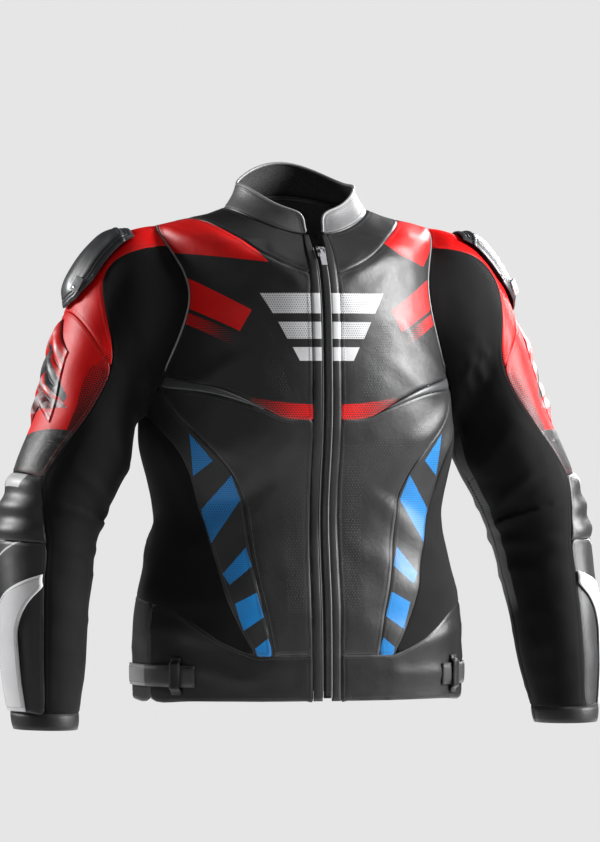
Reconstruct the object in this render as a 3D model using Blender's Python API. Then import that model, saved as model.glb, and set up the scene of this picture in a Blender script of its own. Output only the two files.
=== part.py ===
"""Worn motorcycle jacket in leather and stretch cloth, hollow, in metres, +Z up, its front facing -Y.

The origin lies midway between the two shoulder points, where the wearer's shoulders carry it. The shape
is one smooth torso surface and two smooth sleeve surfaces. Every cut piece is a patch of one of them
between named seams, with its wall laid inwards. Tables and sizes below are in millimetres and degrees.
"""

import bisect
import math

import bmesh
import bpy
import numpy as np
from mathutils import Vector

MM = 0.001
SEAM_GAP = 0.3
ARMHOLE_GAP = 0.5     # the sleeve pieces turn sharply out of the armhole and need more room
LEATHER = 1.6
STRETCH = 1.2
BAND_WALL = 2.2
COLLAR_WALL = 3.0
ZIP_WALL = 2.0
CAP_WALL = 1.5        # base plate of the shoulder cap, under its dome
TRIM_WALL = 1.4       # base of what is sewn on the sleeves
STRAP_WALL = 2.4
LOOP_WALL = 2.0
CLEAR = 0.7           # base of what lies on a panel, above the panel's own surface
RIB_CLEAR = 1.9       # the same where the panel below is hollowed

SHOULDER_TO_SHOULDER = 334.0
CHEST_HALF = 193.0    # half the width just under the arms
WAIST_HALF = 176.0
HEM_HALF = 200.0
HEM_Z = -566.0
BAND_Z = -511.0       # top of the waistband at the front
CHEST_SEAM_Z = -234.0
ARMPIT_Z = -235.0
ZIP_TOP_Z = -28.0
CUFF_KEY = 16.15      # where the cuff begins, in rows of the sleeve table
CUFF_END = 17.0

# Torso rings, hem to neck. Each has its own height at the front, side and back.
TORSO = {
    "level":   (-566, -487, -436, -405, -348, -300, -265, -235, -150, -90, -40, 0, 28, 56, 83),
    "z_side":  (-566, -487, -436, -405, -348, -300, -265, -235, -150, -90, -40, 0, 6, 12, 20),
    "z_front": (-566, -487, -436, -405, -348, -300, -265, -235, -153, -103, -75, -56, -42, -28, -14),
    "z_back":  (-566, -487, -436, -405, -348, -300, -265, -235, -150, -96, -56, -22, 0, 18, 36),
    "half":    (HEM_HALF, 200, 195, 188, WAIST_HALF, 184, CHEST_HALF, 192, 184, 178, 173,
                SHOULDER_TO_SHOULDER / 2, 140, 112, 86),
    "y_front": (-130, -129, -125, -120, -115, -121, -128, -131, -130, -126, -120, -112, -103, -91, -77),
    "y_side":  (0, 0, 0, 0, 0, 0, 2, 5, 14, 20, 24, 25, 22, 17, 10),
    "y_back":  (128, 126, 121, 116, 110, 116, 122, 128, 136, 136, 132, 124, 113, 101, 88),
    "square":  (2.35, 2.35, 2.3, 2.3, 2.25, 2.25, 2.25, 2.2, 2.0, 1.9, 1.85, 1.85, 1.9, 1.95, 2.0),
}

# Stand collar, base to top edge.
COLLAR = {
    "level":   (0, 1, 2),
    "z_side":  (20.4, 35, 49),
    "z_front": (-13.6, 0, 12),
    "z_back":  (36.4, 58, 78),
    "half":    (85.5, 76, 71),
    "y_front": (-76.5, -71, -67),
    "y_side":  (10, 10, 10),
    "y_back":  (87.5, 81, 77),
    "square":  (2.0, 2.0, 2.0),
}

# Armhole, by the turn round its loop: -90 at the armpit, 0 in front, 90 on the shoulder point.
ARMHOLE = {
    "turn":  (-90, -60, -30, 0, 15, 30, 45, 60, 75, 90),
    "front": (90, 81.5, 73.5, 65, 62.8, 65.5, 73, 82, 87.5, 90),
    "back":  (90, 98.5, 104, 109, 110.5, 110, 106, 99, 93, 90),
}
HOLE_TURNS = (-90, -72, -54, -41, -33, -18, -3, 12, 27, 40, 52, 62, 72, 81, 90)
INSERT_REAR, INSERT_FRONT, WEDGE_TOP, SIDE_BACK, LEATHER_START, SHOULDER = 1, 3, 4, 5, 10, 14

# Sleeve rings from the armhole to the cuff: the ring's outer and inner points, its middle and its depth.
SLEEVE = {
    "row":     (0, 1, 2, 3, 4, 5, 6, 7, 8, 9, 10, 11, 12, 13, 14, 15, 16, 17),
    "outer_x": (167, 206, 240, 264, 279, 292, 302, 314, 331, 346, 360, 368, 370, 370, 370, 368, 364, 361),
    "outer_z": (0, -8, -34, -69, -108, -145, -183, -222, -258, -295, -335, -376, -413, -450, -487, -535,
                -572, -597),
    "inner_x": (192, 195, 197.5, 199, 200.5, 202, 204, 209, 217, 227, 238, 249, 256, 262, 267, 273, 281,
                284),
    "inner_z": (-235, -239, -245, -252, -260, -269, -280, -293, -309, -327, -350, -384, -419, -455, -491,
                -538, -574, -598),
    "y_mid":   (5, 18, 26, 29, 27, 24, 18, 13, 9, 7, 5, 2, -6, -17, -26, -37, -46, -51),
    "deep":    (62, 78, 82, 83, 83, 82, 82, 81, 80, 78, 75, 72, 68, 64, 61, 55, 48, 45),
}
HOLE_BLEND = 1.5      # rows over which the armhole's outline turns into the sleeve's rings

# Soft folds that run round the sleeve: on the inside of the elbow and above the cuff.
FOLDS = (
    # row, middle turn, half length, half width in rows, depth
    (8.6, -35, 55, 0.55, 3.5),
    (9.9, -20, 60, 0.50, 4.0),
    (11.2, -40, 50, 0.55, 3.0),
    (13.4, -60, 45, 0.45, 2.0),
    (15.1, -30, 50, 0.40, 2.5),
)

RED, BLACK, STRETCH_BLACK = (0.60, 0.015, 0.02), (0.022, 0.023, 0.025), (0.008, 0.008, 0.009)
WHITE, GREY, BLUE, STEEL = (0.75, 0.75, 0.76), (0.10, 0.10, 0.105), (0.02, 0.22, 0.65), (0.5, 0.5, 0.52)
CAP_GREY = (0.045, 0.046, 0.05)
BLACK_LEATHER = (BLACK, 0.5)   # colour and roughness


# ---------------------------------------------------------------- reading the tables

def read(table, key, column, at):
    """The column's value at a key, on a smooth curve through the table's rows."""
    slopes = table.setdefault(("slopes", column), None)
    if slopes is None:
        slopes = table["slopes", column] = np.gradient(table[column], table[key]).tolist()
    keys, values = table[key], table[column]
    at = min(max(at, keys[0]), keys[-1])
    i = min(max(bisect.bisect_left(keys, at) - 1, 0), len(keys) - 2)
    span = keys[i + 1] - keys[i]
    t = (at - keys[i]) / span
    return ((2 * t**3 - 3 * t**2 + 1) * values[i] + (t**3 - 2 * t**2 + t) * span * slopes[i]
            + (3 * t**2 - 2 * t**3) * values[i + 1] + (t**3 - t**2) * span * slopes[i + 1])


def ring_point(table, angle, level):
    """A point of a ring table: angle 0 is the front centre, 90 the side and 180 the back."""
    def value(column):
        return read(table, "level", column, level)
    across, ahead = math.sin(math.radians(angle)), math.cos(math.radians(angle))
    end = "front" if ahead > 0 else "back"
    depth = abs(value("y_side") - value("y_" + end))
    power = value("square")
    radius = (abs(across / value("half")) ** power + abs(ahead / depth) ** power) ** (-1 / power)
    z_side = value("z_side")
    return Vector((radius * across, value("y_side") - radius * ahead,
                   z_side + (value("z_" + end) - z_side) * ahead**2))


def torso(angle, level):
    return ring_point(TORSO, angle, level)


def collar(angle, level):
    return ring_point(COLLAR, angle, level)


def hole(turn, back=False):
    """Angle and level of a point of the armhole on the torso."""
    level = ARMPIT_Z / 2 * (1 - math.sin(math.radians(turn)))
    return read(ARMHOLE, "turn", "back" if back else "front", turn), level


def fold_depth(turn, row):
    """How far the folds sink the sleeve's surface at a point."""
    depth = 0.0
    for fold_row, middle, half_length, half_width, deepest in FOLDS:
        along = (turn - middle) / half_length
        across = (row - fold_row - 0.3 * along) / half_width
        depth += deepest * math.exp(-(along**2) - across**2)
    return depth


def sleeve(turn, row):
    """A point of the sleeve: turn 0 is its front, 90 its outer side, 180 its back, -90 its underside."""
    def value(column):
        return read(SLEEVE, "row", column, row)
    up, ahead = math.sin(math.radians(turn)), math.cos(math.radians(turn))
    shrink = 1 - fold_depth(turn, row) / value("deep")
    outer = Vector((value("outer_x"), 0, value("outer_z")))
    inner = Vector((value("inner_x"), 0, value("inner_z")))
    middle = (outer + inner) / 2 + Vector((0, value("y_mid"), 0))
    point = middle + ((outer - inner) / 2 * up + Vector((0, -value("deep") * ahead, 0))) * shrink
    share = max(0.0, 1 - row / HOLE_BLEND) ** 2
    if share > 0:
        folded = turn if turn <= 90 else 180 - turn
        point = point.lerp(torso(*hole(folded, back=turn > 90)), share)
    return point


# ---------------------------------------------------------------- seams and patches

def on_torso(x, z, back=False):
    """Angle and level of the torso's point at a width and height, on its front or back."""
    low, high = -566.0, 83.0
    for _ in range(26):
        level = (low + high) / 2
        a, b = 0.0, 90.0
        for _ in range(22):
            angle = (a + b) / 2
            if torso(180 - angle if back else angle, level).x < x:
                a = angle
            else:
                b = angle
        angle = 180 - angle if back else angle
        if torso(angle, level).z < z:
            low = level
        else:
            high = level
    return angle, level


def seam(surface, controls, count):
    """A smooth line through its control points on a surface, as count equal steps."""
    controls = np.array(controls, float)
    places = np.array([tuple(surface(*c)) for c in controls])
    keys = np.concatenate(([0], np.cumsum(np.linalg.norm(np.diff(places, axis=0), axis=1))))
    line = {"at": keys.tolist(), "a": controls[:, 0].tolist(), "b": controls[:, 1].tolist()}
    fine = np.linspace(0, keys[-1], 12 * count + 1)
    dense = [(read(line, "at", "a", f), read(line, "at", "b", f)) for f in fine]
    points = np.array([tuple(surface(*d)) for d in dense])
    walked = np.concatenate(([0], np.cumsum(np.linalg.norm(np.diff(points, axis=0), axis=1))))
    steps = np.interp(np.linspace(0, walked[-1], count + 1), walked, fine)
    return [(float(read(line, "at", "a", s)), float(read(line, "at", "b", s))) for s in steps]


def join(*lines):
    """Lines end to end, each joint's point once."""
    whole = list(lines[0])
    for line in lines[1:]:
        whole += line[1:]
    return whole


def shares(surface, line):
    """How far along a line each of its points lies, from 0 to 1."""
    places = np.array([tuple(surface(*at)) for at in line])
    walked = np.concatenate(([0], np.cumsum(np.linalg.norm(np.diff(places, axis=0), axis=1))))
    return walked / walked[-1]


def patch(surface, bottom, top, left, right):
    """Rows of surface coordinates that fill the space between four sides."""
    assert len(top) == len(bottom) and len(right) == len(left)
    along = [shares(surface, line) for line in (bottom, top, left, right)]
    b, t, l, r = (np.array(side, float) for side in (bottom, top, left, right))
    rows = []
    for j in range(len(left)):
        row = []
        for i in range(len(bottom)):
            u = (along[0][i] + along[1][i]) / 2
            v = (1 - u) * along[2][j] + u * along[3][j]
            u = (1 - v) * along[0][i] + v * along[1][i]
            ruled = (1 - v) * b[i] + v * t[i] + (1 - u) * l[j] + u * r[j]
            corners = (1 - u) * (1 - v) * b[0] + u * (1 - v) * b[-1] + (1 - u) * v * t[0] + u * v * t[-1]
            row.append(tuple(ruled - corners))
        rows.append(row)
    return rows


def mirrored_angles(line):
    """The same line on the other half of the torso."""
    return [(360 - angle, level) for angle, level in line]


# ---------------------------------------------------------------- walls

def material(name, color, roughness, metallic=0.0):
    look = bpy.data.materials.new(name)
    look.use_nodes = True
    shader = look.node_tree.nodes["Principled BSDF"]
    shader.inputs["Base Color"].default_value = (*color, 1)
    shader.inputs["Roughness"].default_value = roughness
    shader.inputs["Metallic"].default_value = metallic
    return look


def add_object(name, bm, look, origin=Vector()):
    mesh = bpy.data.meshes.new(name)
    bm.to_mesh(mesh)
    bm.free()
    mesh.materials.append(material(name, *look))
    obj = bpy.data.objects.new(name, mesh)
    obj.location = origin
    obj.parent = bpy.data.objects["jacket"]
    bpy.context.collection.objects.link(obj)
    return obj


def surface_normal(surface, a, b):
    """Unit normal away from the wearer."""
    step_a = surface(a + 0.4, b) - surface(a - 0.4, b)
    rise = 0.02 if surface in (sleeve, collar) else 1.0
    step_b = surface(a, b + rise) - surface(a, b - rise)
    normal = step_a.cross(step_b).normalized()
    if surface is not sleeve:
        return normal
    share = max(0.0, 1 - b / HOLE_BLEND) ** 2
    if share == 0:
        return -normal
    at_hole = surface_normal(torso, *hole(a if a <= 90 else 180 - a, back=a > 90))
    return (-normal).lerp(at_hole, share * max(0.0, at_hole.dot(-normal))).normalized()


def pulled_in(points, normals, gap):
    """The points with each edge moved half a seam gap into the piece."""
    rows, columns = len(points), len(points[0])
    moved = [[p.copy() for p in row] for row in points]
    for j in range(rows):
        for i in range(columns):
            for edge, across, inward in (((j == 0), True, 1), ((j == rows - 1), True, -1),
                                         ((i == 0), False, 1), ((i == columns - 1), False, -1)):
                if not edge:
                    continue
                if across:
                    along = points[j][min(i + 1, columns - 1)] - points[j][max(i - 1, 0)]
                    to_inside = points[j + inward][i] - points[j][i]
                else:
                    along = points[min(j + 1, rows - 1)][i] - points[max(j - 1, 0)][i]
                    to_inside = points[j][i + inward] - points[j][i]
                step = normals[j][i].cross(along).normalized()
                if step.dot(to_inside) < 0:
                    step = -step
                moved[j][i] += step * gap / 2
    return moved


def wall(name, surface, grid, look, thickness, side=1, lift=None, relief=None, gap=SEAM_GAP):
    """One cut piece: a patch of a surface with its wall inwards.

    lift raises the inner face off the surface and relief adds to the outer face; both take the share
    across and up the patch. side is 1 for the wearer's left and -1 for the right.
    """
    points = [[surface(*at) for at in row] for row in grid]
    normals = [[surface_normal(surface, *at) for at in row] for row in grid]
    points = pulled_in(points, normals, gap)
    rows, columns = len(grid) - 1, len(grid[0]) - 1
    inner, outer = [], []
    for j in range(rows + 1):
        for i in range(columns + 1):
            u, v = i / columns, j / rows
            base = lift(u, v) if lift else -thickness
            top = base + thickness + (relief(u, v) if relief else 0.0)
            for layer, height in ((inner, base), (outer, top)):
                place = points[j][i] + normals[j][i] * height
                layer.append(Vector((side * place.x, place.y, place.z)) * MM)
    bm = bmesh.new()
    bmesh.ops.create_grid(bm, x_segments=columns, y_segments=rows, size=1)
    bm.verts.ensure_lookup_table()
    number = bm.verts.layers.int.new("number")
    for index, vert in enumerate(bm.verts):
        vert[number] = index
        vert.co = inner[index]
    grown = bmesh.ops.extrude_face_region(bm, geom=bm.faces[:])["geom"]
    for vert in (g for g in grown if isinstance(g, bmesh.types.BMVert)):
        vert.co = outer[vert[number]]
    bmesh.ops.triangulate(bm, faces=bm.faces, quad_method="SHORT_EDGE")
    bmesh.ops.recalc_face_normals(bm, faces=bm.faces)
    return add_object(name, bm, look)


def ribs(count, height):
    """Rounded accordion ribs across a patch, fading out at its two sides."""
    def relief(u, v):
        return height * (0.5 - 0.5 * math.cos(2 * math.pi * count * v)) * math.sin(math.pi * u) ** 0.6
    return relief


def level_pad(u, v):
    return CLEAR


# ---------------------------------------------------------------- seams of the torso

def hole_line(first, last, back=False):
    """The armhole's shared points between two of its numbers."""
    step = 1 if last >= first else -1
    return [hole(HOLE_TURNS[n], back) for n in range(first, last + step, step)]


def torso_seams():
    """Every seam of the torso's left half, as shared lines of angle and level."""
    s = {}
    s["placket_neck"] = seam(torso, ((9.5, 83), (8.6, 50), (7.4, 15), (7.0, -10)), 4)
    chest_top = s["placket_neck"][-1]
    chest_bottom = on_torso(17, CHEST_SEAM_Z)
    band_top = on_torso(17, BAND_Z)
    s["placket_chest"] = seam(torso, (chest_bottom, on_torso(17, -150), chest_top), 12)
    s["placket_front"] = seam(torso, (band_top, on_torso(17, -380), chest_bottom), 9)
    s["placket_band"] = seam(torso, (on_torso(17, HEM_Z + 0.5), band_top), 3)
    s["yoke_edge"] = seam(torso, (chest_top, (19, 0), (32, 14), (45, 28), (62, 37), (90, 42)), 8)
    s["shoulder"] = seam(torso, ((90, 42), (90, 0)), 2)
    s["yoke_shoulder"] = seam(torso, ((90, 42), (90, 83)), 4)
    s["neck_front"] = seam(torso, (s["placket_neck"][0], (90, 83)), 8)
    s["yoke_back"] = seam(torso, ((90, 42), (112, 28), (136, 2), (160, -17), (180, -21)), 6)
    wedge_inner = on_torso(75, -221.5)
    s["chest_seam"] = seam(torso, (chest_bottom, on_torso(50, -232), wedge_inner), 3)
    rising = on_torso(120, -206)
    s["wedge_low"] = seam(torso, (wedge_inner, rising, hole(HOLE_TURNS[INSERT_FRONT])), 5)
    s["wedge_high"] = seam(torso, (on_torso(75, -220), on_torso(118, -199), hole(HOLE_TURNS[WEDGE_TOP])), 5)
    front_edge = ((66, BAND_Z), (73, -468), (83, -420), (90, -366), (98, -318), (118, -285), (142, -258),
                  (164, -232))
    s["insert_front"] = seam(torso, [on_torso(*p) for p in front_edge]
                             + [hole(HOLE_TURNS[INSERT_FRONT])], 9)
    rear_edge = ((86, BAND_Z), (103, -480), (115, -450), (132, -378), (144, -336), (153, -300), (168, -268))
    s["insert_rear"] = seam(torso, [on_torso(*p) for p in rear_edge]
                            + [hole(HOLE_TURNS[INSERT_REAR])], 9)
    s["band_front"] = seam(torso, (band_top, s["insert_front"][0]), 8)
    s["band_insert"] = seam(torso, (s["insert_front"][0], s["insert_rear"][0]), 2)
    s["band_side"] = seam(torso, (s["insert_rear"][0], on_torso(119, -499), on_torso(150, -474),
                                  (90, -446), (108, -444), (122, -452)), 6)
    s["side_back"] = seam(torso, (s["band_side"][-1], (120, -400), (116, -340), (112, -250),
                                  hole(HOLE_TURNS[SIDE_BACK], back=True)), 9)
    s["band_back"] = seam(torso, (s["band_side"][-1], (150, -472), (180, -480)), 6)
    return s


def whole_back(line):
    """A line of the left half carried on over the centre back to the right half."""
    return line + mirrored_angles(line[:-1])[::-1]


def hem_line(top):
    """The hem under a stretch of the waistband's top."""
    return [(angle, HEM_Z + 0.5) for angle, _ in top]


def straight(start, end, count):
    return [tuple(np.array(start) + (np.array(end) - np.array(start)) * n / count)
            for n in range(count + 1)]


# ---------------------------------------------------------------- the pieces

def build_fronts(s, side, tag):
    leather, stretch = (BLACK, 0.5), (STRETCH_BLACK, 0.8)
    yoke = patch(torso, s["yoke_edge"], s["neck_front"], s["placket_neck"][::-1], s["yoke_shoulder"])
    wall("yoke_front_" + tag, torso, yoke, leather, LEATHER, side)
    chest = patch(torso, s["chest_seam"][:-1] + s["wedge_high"], s["yoke_edge"], s["placket_chest"],
                  join(hole_line(WEDGE_TOP, SHOULDER), s["shoulder"][::-1]))
    wall("chest_" + tag, torso, chest, leather, LEATHER, side)
    inner_end = straight(s["wedge_low"][0], s["wedge_high"][0], 1)
    wedge = patch(torso, s["wedge_low"], s["wedge_high"], inner_end, hole_line(INSERT_FRONT, WEDGE_TOP))
    wall("chest_wedge_" + tag, torso, wedge, (GREY, 0.5), LEATHER, side,
         relief=lambda u, v: 2.6 * math.sin(math.pi * u) ** 0.5)
    front = patch(torso, s["band_front"], join(s["chest_seam"], s["wedge_low"]), s["placket_front"],
                  s["insert_front"])
    wall("front_" + tag, torso, front, leather, LEATHER, side)
    insert = patch(torso, s["band_insert"], hole_line(INSERT_FRONT, INSERT_REAR), s["insert_front"],
                   s["insert_rear"])
    wall("insert_" + tag, torso, insert, (BLUE, 0.6), STRETCH, side)
    side_top = hole_line(INSERT_REAR, 0) + hole_line(1, SIDE_BACK, back=True)
    panel = patch(torso, s["band_side"], side_top, s["insert_rear"], s["side_back"])
    wall("side_" + tag, torso, panel, stretch, STRETCH, side)
    band_top = join(s["band_front"], s["band_insert"], s["band_side"][:4])
    hem = hem_line(band_top)
    hem[0] = s["placket_band"][0]
    side_seam = straight(hem[-1], band_top[-1], 3)
    band = patch(torso, hem, band_top, s["placket_band"], side_seam)
    wall("waistband_front_" + tag, torso, band, leather, BAND_WALL, side)
    outer = join(s["placket_band"], s["placket_front"], s["placket_chest"], s["placket_neck"][::-1])
    inner = [(angle * (0.32 if level < 20 else 0.32 + 0.2 * (level - 20) / 63), level)
             for angle, level in outer]
    strip = patch(torso, [inner[0], outer[0]], [inner[-1], outer[-1]], inner, outer)
    wall("placket_" + tag, torso, strip, leather, BAND_WALL, side, relief=lambda u, v: 0.8)


def build_back(s):
    leather = BLACK_LEATHER
    low = whole_back(s["yoke_back"])
    neck = [(90 + 180 * n / 12, 83.0) for n in range(13)]
    yoke = patch(torso, low, neck, s["yoke_shoulder"], mirrored_angles(s["yoke_shoulder"]))
    wall("yoke_back", torso, yoke, leather, LEATHER)
    arm = join(hole_line(SIDE_BACK, SHOULDER, back=True), s["shoulder"][::-1])
    middle = straight(arm[0], mirrored_angles(arm)[0], 12)
    wall("back_upper", torso, patch(torso, middle, low, arm, mirrored_angles(arm)), leather, LEATHER)
    band = whole_back(s["band_back"])
    lower = patch(torso, band, middle, s["side_back"], mirrored_angles(s["side_back"]))
    wall("back_lower", torso, lower, leather, LEATHER)
    half = s["band_side"][3:]
    band_top = join(half, band, mirrored_angles(half)[::-1])
    hem = hem_line(band_top)
    left = straight(hem[0], band_top[0], 3)
    waistband = patch(torso, hem, band_top, left, mirrored_angles(left))
    wall("waistband_back", torso, waistband, leather, BAND_WALL)


def build_collar():
    start = 8.0
    rows = 4
    grid = []
    for j in range(rows + 1):
        level = 2 * j / rows
        first = start + 5.0 * (max(0.0, level - 0.8) / 1.2) ** 2.5
        grid.append([(first + (360 - 2 * first) * n / 26, level) for n in range(27)])
    wall("collar", collar, grid, (GREY, 0.5), COLLAR_WALL)


def build_zip():
    top = on_torso(0.01, ZIP_TOP_Z)[1]
    levels = np.linspace(HEM_Z + 4, top, 23)
    half = 4.6
    grid = [[(turn * math.degrees(half / abs(torso(0.01, level).y - torso(90, level).y)), level)
             for turn in (-1, 0, 1)] for level in levels]
    wall("zip", torso, grid, (BLACK, 0.6), ZIP_WALL, relief=lambda u, v: 0.8)


def build_straps(s, side, tag):
    low, high = -549.0, -523.0
    strap = [[(58 + 40 * i / 10, low + (high - low) * j) for i in range(11)] for j in range(2)]
    wall("hip_strap_" + tag, torso, strap, (GREY, 0.5), STRAP_WALL, side, lift=level_pad)
    bridge = STRAP_WALL + 2 * CLEAR
    rises = (0, 0, 1, 1, 1, 1, 0, 0)
    heights = (-558.0, -554.0, -551.5, -545.0, -527.0, -520.5, -518.0, -514.0)
    loop = [[(63 + 4 * i, level) for i in range(2)] for level in heights]

    def lift(u, v):
        return CLEAR + bridge * rises[round(v * (len(rises) - 1))]
    wall("strap_loop_" + tag, torso, loop, BLACK_LEATHER, LOOP_WALL, side, lift=lift)


SLEEVE_EDGE = ((52, 0), (53, 1), (58, 1.9), (54, 2.4), (43, 2.67), (27, 2.95), (13, 3.3), (8, 3.9))
ARM_EDGE = ((8, 3.9), (11, 5.2), (18.5, 6.22), (31, 7.6), (42, 9))
ELBOW_EDGE = ((42, 9), (28, 10), (16, 11))
FOREARM_EDGE = ((16, 11), (16, CUFF_KEY))
SHOULDER_ROWS, ARM_ROWS, ELBOW_ROWS, FOREARM_ROWS = 8, 5, 6, 5


def build_sleeve(side, tag):
    red, stretch = (RED, 0.45), (STRETCH_BLACK, 0.8)
    edges = [seam(sleeve, controls, count) for controls, count in (
        (SLEEVE_EDGE, SHOULDER_ROWS), (ARM_EDGE, ARM_ROWS), (ELBOW_EDGE, ELBOW_ROWS),
        (FOREARM_EDGE, FOREARM_ROWS))]
    backs = [[(180 - turn, row) for turn, row in edge] for edge in edges]
    hole_turns = [(turn, 0.0) for turn in HOLE_TURNS]
    top = hole_turns[:LEATHER_START + 1]
    under = [(-90, row) for _, row in join(*edges)]
    cuff_front = straight((-90, CUFF_KEY), edges[-1][-1], LEATHER_START)
    front = patch(sleeve, top, cuff_front, under, join(*edges))
    wall("sleeve_front_" + tag, sleeve, front, stretch, STRETCH, side, gap=ARMHOLE_GAP)
    back = [[(180 - turn, row) for turn, row in line] for line in front]
    wall("sleeve_back_" + tag, sleeve, back, stretch, STRETCH, side, gap=ARMHOLE_GAP)
    across = hole_turns[LEATHER_START:] + [(180 - t, r) for t, r in hole_turns[LEATHER_START:-1][::-1]]
    looks = (("shoulder_leather_", red, None), ("arm_leather_", red, None),
             ("elbow_ribs_", (BLACK, 0.6), ribs(3, 5.0)), ("forearm_", (BLACK, 0.5), None))
    for (label, look, relief), left, right in zip(looks, edges, backs):
        below = straight(left[-1], right[-1], len(across) - 1)
        grid = patch(sleeve, across, below, left, right)
        wall(label + tag, sleeve, grid, look, LEATHER, side, relief=relief, gap=ARMHOLE_GAP)
        across = below
    cuff_turns = ([turn for turn, _ in cuff_front] + [turn for turn, _ in across[1:]]
                  + [180 - turn for turn, _ in cuff_front[-2::-1]])
    cuff = [[(turn, row) for turn in cuff_turns] for row in (CUFF_KEY, CUFF_END)]
    wall("cuff_" + tag, sleeve, cuff, (BLACK, 0.6), BAND_WALL, side)


def build_cap(side, tag):
    """Hard moulded shoulder cap: a domed plate with a raised inner facet."""
    left = seam(sleeve, ((66, 1.05), (62, 1.9), (60, 2.7), (70, 3.45)), 9)
    right = [(180 - turn, row) for turn, row in left]
    top = straight(left[0], right[0], 8)
    bottom = seam(sleeve, (left[-1], (90, 3.85), right[-1]), 8)

    def relief(u, v):
        edge = min(u, 1 - u, v, 1 - v)
        rim = min(1.0, edge / 0.12)
        facet = 1.0 if 0.25 < u < 0.75 and 0.2 < v < 0.8 else 0.0
        return 2.0 + 6.0 * rim + 3.0 * facet
    plate = patch(sleeve, top, bottom, left, right)
    wall("shoulder_cap_" + tag, sleeve, plate, (CAP_GREY, 0.35), CAP_WALL, side, lift=level_pad,
         relief=relief)


def build_arm_trims(side, tag):
    turns, rib_rows = 6, 16
    grid = []
    for j in range(rib_rows + 1):
        v = j / rib_rows
        row = []
        for i in range(turns + 1):
            u = i / turns
            slant = 0.8 * abs(2 * u - 1)
            row.append((52 + 76 * u, 4.15 + slant + v * (6.7 - 4.15)))
        grid.append(row)
    wall("arm_ribs_" + tag, sleeve, grid, (RED, 0.5), TRIM_WALL, side,
         lift=lambda u, v: RIB_CLEAR, relief=ribs(4, 7.0))
    outer = seam(sleeve, ((18, 12.0), (50, 12.35), (86, 13.0), (100, 14.0), (101, CUFF_KEY - 0.05)), 8)
    inner = seam(sleeve, ((18, 12.45), (34, 12.9), (48, 13.6), (50, 14.6), (46, CUFF_KEY - 0.05)), 8)
    band = patch(sleeve, [inner[0], outer[0]], [inner[-1], outer[-1]], inner, outer)
    wide = [[tuple(np.array(a) + (np.array(b) - np.array(a)) * n / 3) for n in range(4)] for a, b in band]
    wall("forearm_band_" + tag, sleeve, wide, (WHITE, 0.5), TRIM_WALL, side,
         lift=lambda u, v: RIB_CLEAR)


def frame_at(level):
    """Point, outward normal and downward direction of the front centre at a level."""
    point = torso(0, level)
    down = (torso(0, level - 4) - torso(0, level + 4)).normalized()
    normal = Vector((0, down.z, -down.y)).normalized()
    return point, normal, down


def block(bm, centre, half, axes):
    """A box from its middle, its half sizes and its three directions."""
    made = bmesh.ops.create_cube(bm, size=2)["verts"]
    for vert in made:
        offset = sum((axis * c * h for axis, c, h in zip(axes, vert.co, half)), Vector())
        vert.co = (centre + offset) * MM
    return made


def barrel(bm, centre, half_width, radius):
    """A round bar along X."""
    made = bmesh.ops.create_cone(bm, cap_ends=True, segments=12, radius1=radius * MM, radius2=radius * MM,
                                 depth=2 * half_width * MM)["verts"]
    for vert in made:
        vert.co = Vector((vert.co.z, vert.co.x, vert.co.y)) + centre * MM
    return made


def union(base, *others):
    """Join closed objects to the first with Booleans, then drop the others."""
    for other in others:
        other.hide_render = True
        other.display_type = "WIRE"
        step = base.modifiers.new("join", "BOOLEAN")
        step.operation = "UNION"
        step.object = other


def build_slider():
    """Zip slider at the top of the zip, and its pull tab on a pin between two lugs."""
    level = on_torso(0.01, ZIP_TOP_Z - 10)[1]
    point, normal, down = frame_at(level)
    across = Vector((1, 0, 0))
    axes = (across, down, normal)
    pin = point + normal * 6.6 - down * 3.5
    steel = (STEEL, 0.3, 1.0)
    bm = bmesh.new()
    block(bm, point + normal * 2.7, (4.2, 7.0, 1.3), axes)
    body = add_object("slider", bm, steel)
    parts = []
    for x in (-1, 1):
        bm = bmesh.new()
        block(bm, point + normal * 5.3 - down * 3.5 + across * x * 2.6, (0.7, 1.9, 2.6), axes)
        parts.append(add_object(f"lug_{'right' if x < 0 else 'left'}", bm, steel))
    bm = bmesh.new()
    barrel(bm, pin, 2.4, 0.55)
    parts.append(add_object("pin", bm, steel))
    union(body, *parts)

    bm = bmesh.new()
    length = 24.0
    block(bm, down * (length / 2 + 1.5), (1.5, length / 2, 0.8), axes)
    tab = add_object("pull_tab", bm, steel, origin=pin * MM)
    bm = bmesh.new()
    barrel(bm, Vector(), 1.5, 1.9)
    eye = add_object("eye", bm, steel, origin=pin * MM)
    bm = bmesh.new()
    block(bm, down * 17.0, (3.4, 9.0, 1.1), axes)
    grip = add_object("grip", bm, steel, origin=pin * MM)
    union(tab, eye, grip)
    bm = bmesh.new()
    barrel(bm, Vector(), 4.0, 0.95)
    bore = add_object("bore", bm, steel, origin=pin * MM)
    bore.hide_render = True
    bore.display_type = "WIRE"
    cut = tab.modifiers.new("bore", "BOOLEAN")
    cut.operation = "DIFFERENCE"
    cut.object = bore


def build():
    for old in list(bpy.data.objects):
        bpy.data.objects.remove(old)
    jacket = bpy.data.objects.new("jacket", None)
    bpy.context.collection.objects.link(jacket)
    seams = torso_seams()
    for side, tag in ((1, "l"), (-1, "r")):
        build_fronts(seams, side, tag)
        build_straps(seams, side, tag)
        build_sleeve(side, tag)
        build_cap(side, tag)
        build_arm_trims(side, tag)
    build_back(seams)
    build_collar()
    build_zip()
    build_slider()


build()
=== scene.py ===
import math
from collections import namedtuple
from functools import partial, partialmethod
from itertools import groupby

import bmesh
import bpy
import numpy as np
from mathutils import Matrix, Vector, noise
from mathutils.bvhtree import BVHTree


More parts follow.
